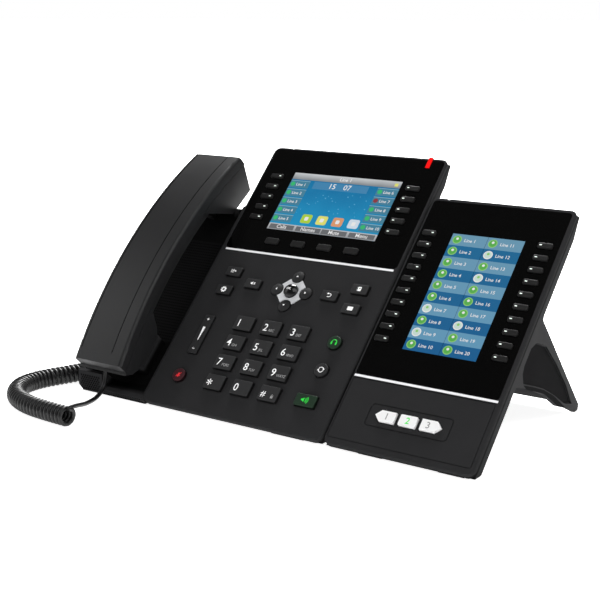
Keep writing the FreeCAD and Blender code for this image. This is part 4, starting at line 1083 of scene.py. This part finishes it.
# %% Lamps
lamp_white = moulded("lamp_white", (225, 235, 228), 0.3, bump=0.02, mottle=0.03,
                     Emission_Color=colour(225, 240, 230), Emission_Strength=0.55)
LINE_RISE = 1.5
LAMP_LONG, LAMP_HIGH = 1.8, 0.7
LAMP_SUNK, LAMP_PROUD = 0.1, 0.12
LAMP_CORNER, LAMP_RIM = 0.3, 0.05


def lamp(x, y):
    """A tiny lens on a line key's top."""
    return plate(
        x - LAMP_LONG / 2, x + LAMP_LONG / 2, y - LAMP_HIGH / 2, y + LAMP_HIGH / 2,
        LINE_RISE - LAMP_SUNK, LINE_RISE + LAMP_PROUD, corner=LAMP_CORNER, edge=LAMP_RIM
    )


# Each group has its two columns, its top row, the rows' step and their number.
for body, columns, top, step, rows in (
    ("line_keys", (-131.4, -17.6), 206.1, 9.85, 5),
    ("module_line_keys", (17.3, 98.0), 169.8, 9.78, 10),
):
    lamps = join_pieces([lamp(x, top - step * i) for x in columns for i in range(rows)])
    finish_piece(lamps, body[:-1] + "_lamps", body, lamp_white)
    print(body, "lamps:", len(columns) * rows)

# %% [markdown]
# ## The pictures on the screens
# A lit screen is a thin film that gives light under dark glass. Its picture could be
# one clever material, but then nobody could change a label. So it is laid out as a
# designer would: a coloured ground, bars, rows, icons and words, each a flat mark a
# few hundredths of a millimetre above the last. Every colour glows by itself.

# %% A helper for colours that glow
GLASS_DARK, GLASS_ROUGHNESS = (0.004, 0.004, 0.005, 1.0), 0.12
GLOW_STRENGTH = 0.95
SPECK_SCALE, SPECK_SWING = 60.0, 0.5
FOOT_STRENGTH = 0.82


def glowing(name, top, bottom=None, low=0.0, high=1.0):
    """A screen colour; with two, it fades from the top one down to the bottom one."""
    finish, nodes, links = new_finish(name)
    shader = put(nodes["Principled BSDF"], Base_Color=GLASS_DARK,
                 Roughness=GLASS_ROUGHNESS, Emission_Strength=GLOW_STRENGTH)
    place = nodes.new("ShaderNodeTexCoord")
    speck = put(nodes.new("ShaderNodeTexNoise"), Scale=SPECK_SCALE)
    links.new(place.outputs["Object"], speck.inputs["Vector"])
    blend = nodes.new("ShaderNodeMix")
    blend.data_type = "RGBA"
    top = colour(*top)
    dimmer = (*[FOOT_STRENGTH * c for c in top[:3]], 1.0)
    put(blend, A=colour(*bottom) if bottom else dimmer, B=top)
    height = nodes.new("ShaderNodeSeparateXYZ")
    links.new(place.outputs["Object"], height.inputs["Vector"])
    rise = put(nodes.new("ShaderNodeMapRange"), From_Min=low, From_Max=high)
    links.new(height.outputs["Z"], rise.inputs["Value"])
    wander = nodes.new("ShaderNodeMath")
    wander.operation = "MULTIPLY_ADD"
    wander.inputs[1].default_value = SPECK_SWING
    links.new(speck.outputs["Fac"], wander.inputs[0])
    links.new(rise.outputs["Result"], wander.inputs[2])
    shift = nodes.new("ShaderNodeMath")
    shift.operation = "SUBTRACT"
    shift.use_clamp = True
    shift.inputs[1].default_value = SPECK_SWING / 2
    links.new(wander.outputs["Value"], shift.inputs[0])
    links.new(shift.outputs["Value"], blend.inputs["Factor"])
    links.new(blend.outputs["Result"], shader.inputs["Emission Color"])
    return finish


# %% The colours of the main screen


def height_on_face(y):
    """How high in metres a point of the face is above the floor."""
    return (FACE @ Vector((0.0, y, 0.0))).z


SCREEN = dict(x=-73.0, y=184.9, wide=95.2, high=53.8)
TALL = dict(x=58.75, y=124.6, wide=53.8, high=95.2)
BAR_ENDS, FOOT_ENDS = (205.0, 212.0), (158.0, 163.5)


def edge_heights(screen):
    """The heights above the floor of a screen's lower and upper edge."""
    return [height_on_face(screen["y"] + side * screen["high"] / 2) for side in (-1, 1)]


glow_sky = glowing("glow_sky", (14, 108, 158), (26, 146, 194), *edge_heights(SCREEN))
glow_bar = glowing("glow_bar_grey", (205, 208, 210), (120, 126, 130),
                   *map(height_on_face, BAR_ENDS))
glow_foot = glowing("glow_foot_grey", (190, 192, 194), (150, 152, 155),
                    *map(height_on_face, FOOT_ENDS))
glow_row = glowing("glow_row_steel", (96, 150, 168), (62, 122, 148))
glow_clock = glowing("glow_clock_band", (78, 140, 178), (60, 128, 172))
glow_white = glowing("glow_white", (250, 250, 250))
glow_green = glowing("glow_green", (60, 196, 120))
glow_lime = glowing("glow_lime", (186, 222, 70))
glow_yellow = glowing("glow_yellow", (240, 238, 120))
glow_peach = glowing("glow_peach", (236, 164, 118))
glow_ice = glowing("glow_ice", (222, 236, 250))
glow_ink = glowing("glow_ink", (112, 114, 117))
glow_red = glowing("glow_red", (150, 60, 70))
glow_edge = glowing("glow_edge", (150, 192, 208))
glow_spark = glowing("glow_spark", (96, 184, 224))
print("main screen from", [round(h, 3) for h in edge_heights(SCREEN)], "m up")

# %% Helpers that place marks on a screen
GROUND = -0.34
LAYER = 0.035


def at_screen(screen, u, v):
    """The workbench place of a share of a screen's width and height."""
    x = screen["x"] + (u - 0.5) * screen["wide"]
    return x, screen["y"] + (v - 0.5) * screen["high"]


def tile(screen, u0, u1, v0, v1, layer, glow, corner=0.0):
    """A filled rectangle between two shares of a screen's width and of its height."""
    x0, y0 = at_screen(screen, u0, v0)
    x1, y1 = at_screen(screen, u1, v1)
    item = filled([oblong(x1 - x0, y1 - y0, corner)], (x0 + x1) / 2, (y0 + y1) / 2,
                  GROUND + layer * LAYER)
    return paint(item, glow)


def word(screen, text, size, u, v, layer, glow, align="LEFT"):
    """A word whose baseline starts, or has its middle, at a share of the screen."""
    x, y = at_screen(screen, u, v)
    return paint(letters(text, size, x, y, GROUND + layer * LAYER, align), glow)


def disc(screen, radius, u, v, layer, glow):
    """A filled circle round a share of the screen."""
    x, y = at_screen(screen, u, v)
    return paint(filled([ring(radius)[:-1]], x, y, GROUND + layer * LAYER), glow)


# %% The main screen's ground, bars and clock
BAR_FOOT, FOOT_TOP = 0.885, 0.105
picture = [
    tile(SCREEN, 0.0, 1.0, 0.0, 1.0, 0, glow_sky),
    tile(SCREEN, 0.0, 1.0, BAR_FOOT, 1.0, 1, glow_bar),
    tile(SCREEN, 0.0, 1.0, 0.0, FOOT_TOP, 1, glow_foot),
    tile(SCREEN, 0.225, 0.735, 0.745, 0.87, 1, glow_clock),
    word(SCREEN, "15", 6.6, 0.405, 0.772, 2, glow_white, "CENTER"),
    word(SCREEN, "07", 6.6, 0.545, 0.772, 2, glow_white, "CENTER"),
    word(SCREEN, "Line 1", 4.4, 0.5, 0.917, 2, glow_white, "CENTER"),
    tile(SCREEN, 0.945, 0.975, 0.915, 0.965, 2, glow_yellow),
]

# %% The main screen's line rows
LINES = 5
ROW_TOP, ROW_STEP, ROW_HIGH, ROW_EDGE = 0.865, 0.151, 0.128, 0.008
ROW_SIDES = ((0.0, 0.185), (0.815, 1.0))
BUSY_LINE = 1
DOT_SIZE, DOT_U, DOT_DROP = 2.0, (0.03, 0.845), 0.064
LABEL_SIZE, LABEL_U, LABEL_DROP = 3.6, (0.062, 0.877), 0.088
for i in range(LINES):
    row_top = ROW_TOP - ROW_STEP * i
    for high, layer, glow in ((ROW_HIGH, 1, glow_row), (ROW_EDGE, 2, glow_edge)):
        picture += [
            tile(SCREEN, u0, u1, row_top - high, row_top, layer, glow)
            for u0, u1 in ROW_SIDES
        ]
    state = glow_red if i == BUSY_LINE else glow_green
    for u, glow in zip(DOT_U, (glow_green, state)):
        picture.append(disc(SCREEN, DOT_SIZE, u, row_top - DOT_DROP, 2, glow))
    for u, number in zip(LABEL_U, (i + 1, i + LINES + 1)):
        picture.append(word(SCREEN, f"Line {number}", LABEL_SIZE, u,
                            row_top - LABEL_DROP, 2, glow_white))
print("marks so far:", len(picture))

# %% The main screen's sparks, icons and menu
SPARKS = 26
ICON_WIDE, ICON_V, PLATE_U, PLATE_V = 0.094, (0.155, 0.305), (0.03, 0.064), (0.2, 0.262)
MENU_HALF, MENU_V, MENU_SIZE, MENU_LINE = 0.115, (0.012, 0.09), 4.6, 0.026
for i in range(SPARKS):
    u = 0.2 + 0.6 * (i * 0.618 % 1.0)
    v = 0.32 + 0.4 * (i * i * 0.137 % 1.0)
    picture.append(disc(SCREEN, 0.25 + 0.3 * (i * 0.71 % 1.0), u, v, 1, glow_spark))
for u, glow in (
    (0.27, glow_lime), (0.415, glow_yellow), (0.56, glow_peach), (0.705, glow_ice),
):
    picture += [
        tile(SCREEN, u, u + ICON_WIDE, *ICON_V, 1, glow, corner=1.6),
        tile(SCREEN, u + PLATE_U[0], u + PLATE_U[1], *PLATE_V, 2, glow_white, corner=0.8),
    ]
for u, text in ((0.13, "Calls"), (0.38, "Names"), (0.62, "Mute"), (0.87, "Menu")):
    picture += [
        tile(SCREEN, u - MENU_HALF, u + MENU_HALF, *MENU_V, 2, glow_ink),
        word(SCREEN, text, MENU_SIZE, u, MENU_LINE, 3, glow_white, "CENTER"),
    ]
finish_piece(join_pieces(picture), "main_screen_picture", "root", None)
print("main screen marks:", len(picture))

# %% The colours of the module's screen
glow_steel = glowing("glow_stripe_steel", (104, 150, 176), (96, 150, 182),
                     *edge_heights(TALL))
glow_blue = glowing("glow_stripe_blue", (28, 104, 148), (22, 92, 142),
                    *edge_heights(TALL))
glow_leaf = glowing("glow_leaf", (150, 214, 120))
glow_moss = glowing("glow_moss", (96, 186, 84))
glow_pale = glowing("glow_pale", (214, 236, 226))
print("finishes and colours in all:", len(bpy.data.materials))

# %% The module screen's picture
ROWS = 10
ROW_SHARE, ROW_MIDDLE, STEM_DROP, TEXT_DROP = 0.1, 0.05, 0.042, 0.063
COLUMN_GAP, BADGE_U, TEXT_U = 0.004, 0.09, 0.19
WHITE_ICONS = {(0, 6), (0, 8), (1, 1), (1, 3), (1, 7)}
contacts = []
for row in range(ROWS):
    top = 1.0 - row / ROWS
    stripe = glow_blue if row % 2 else glow_steel
    for column, (u0, u1) in enumerate(((0.0, 0.5), (0.5, 1.0))):
        white = (column, row) in WHITE_ICONS
        text = f"Line {row + 1 + ROWS * column}"
        u = u0 + BADGE_U
        contacts += [
            tile(TALL, u0 + COLUMN_GAP * column, u1, top - ROW_SHARE, top, 0, stripe),
            disc(TALL, 3.4, u, top - ROW_MIDDLE, 1, glow_white if white else glow_leaf),
            disc(TALL, 2.7, u, top - ROW_MIDDLE, 2, glow_pale if white else glow_moss),
            disc(TALL, 1.0, u, top - STEM_DROP, 3, glow_leaf if white else glow_white),
            word(TALL, text, LABEL_SIZE, u0 + TEXT_U, top - TEXT_DROP, 1, glow_white),
        ]
finish_piece(join_pieces(contacts), "module_screen_picture", "root", None)
print("module screen marks:", len(contacts))

# %% Measure and finish
low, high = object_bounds()
print("visual box in mm:", [round(1000 * side, 1) for side in high - low])
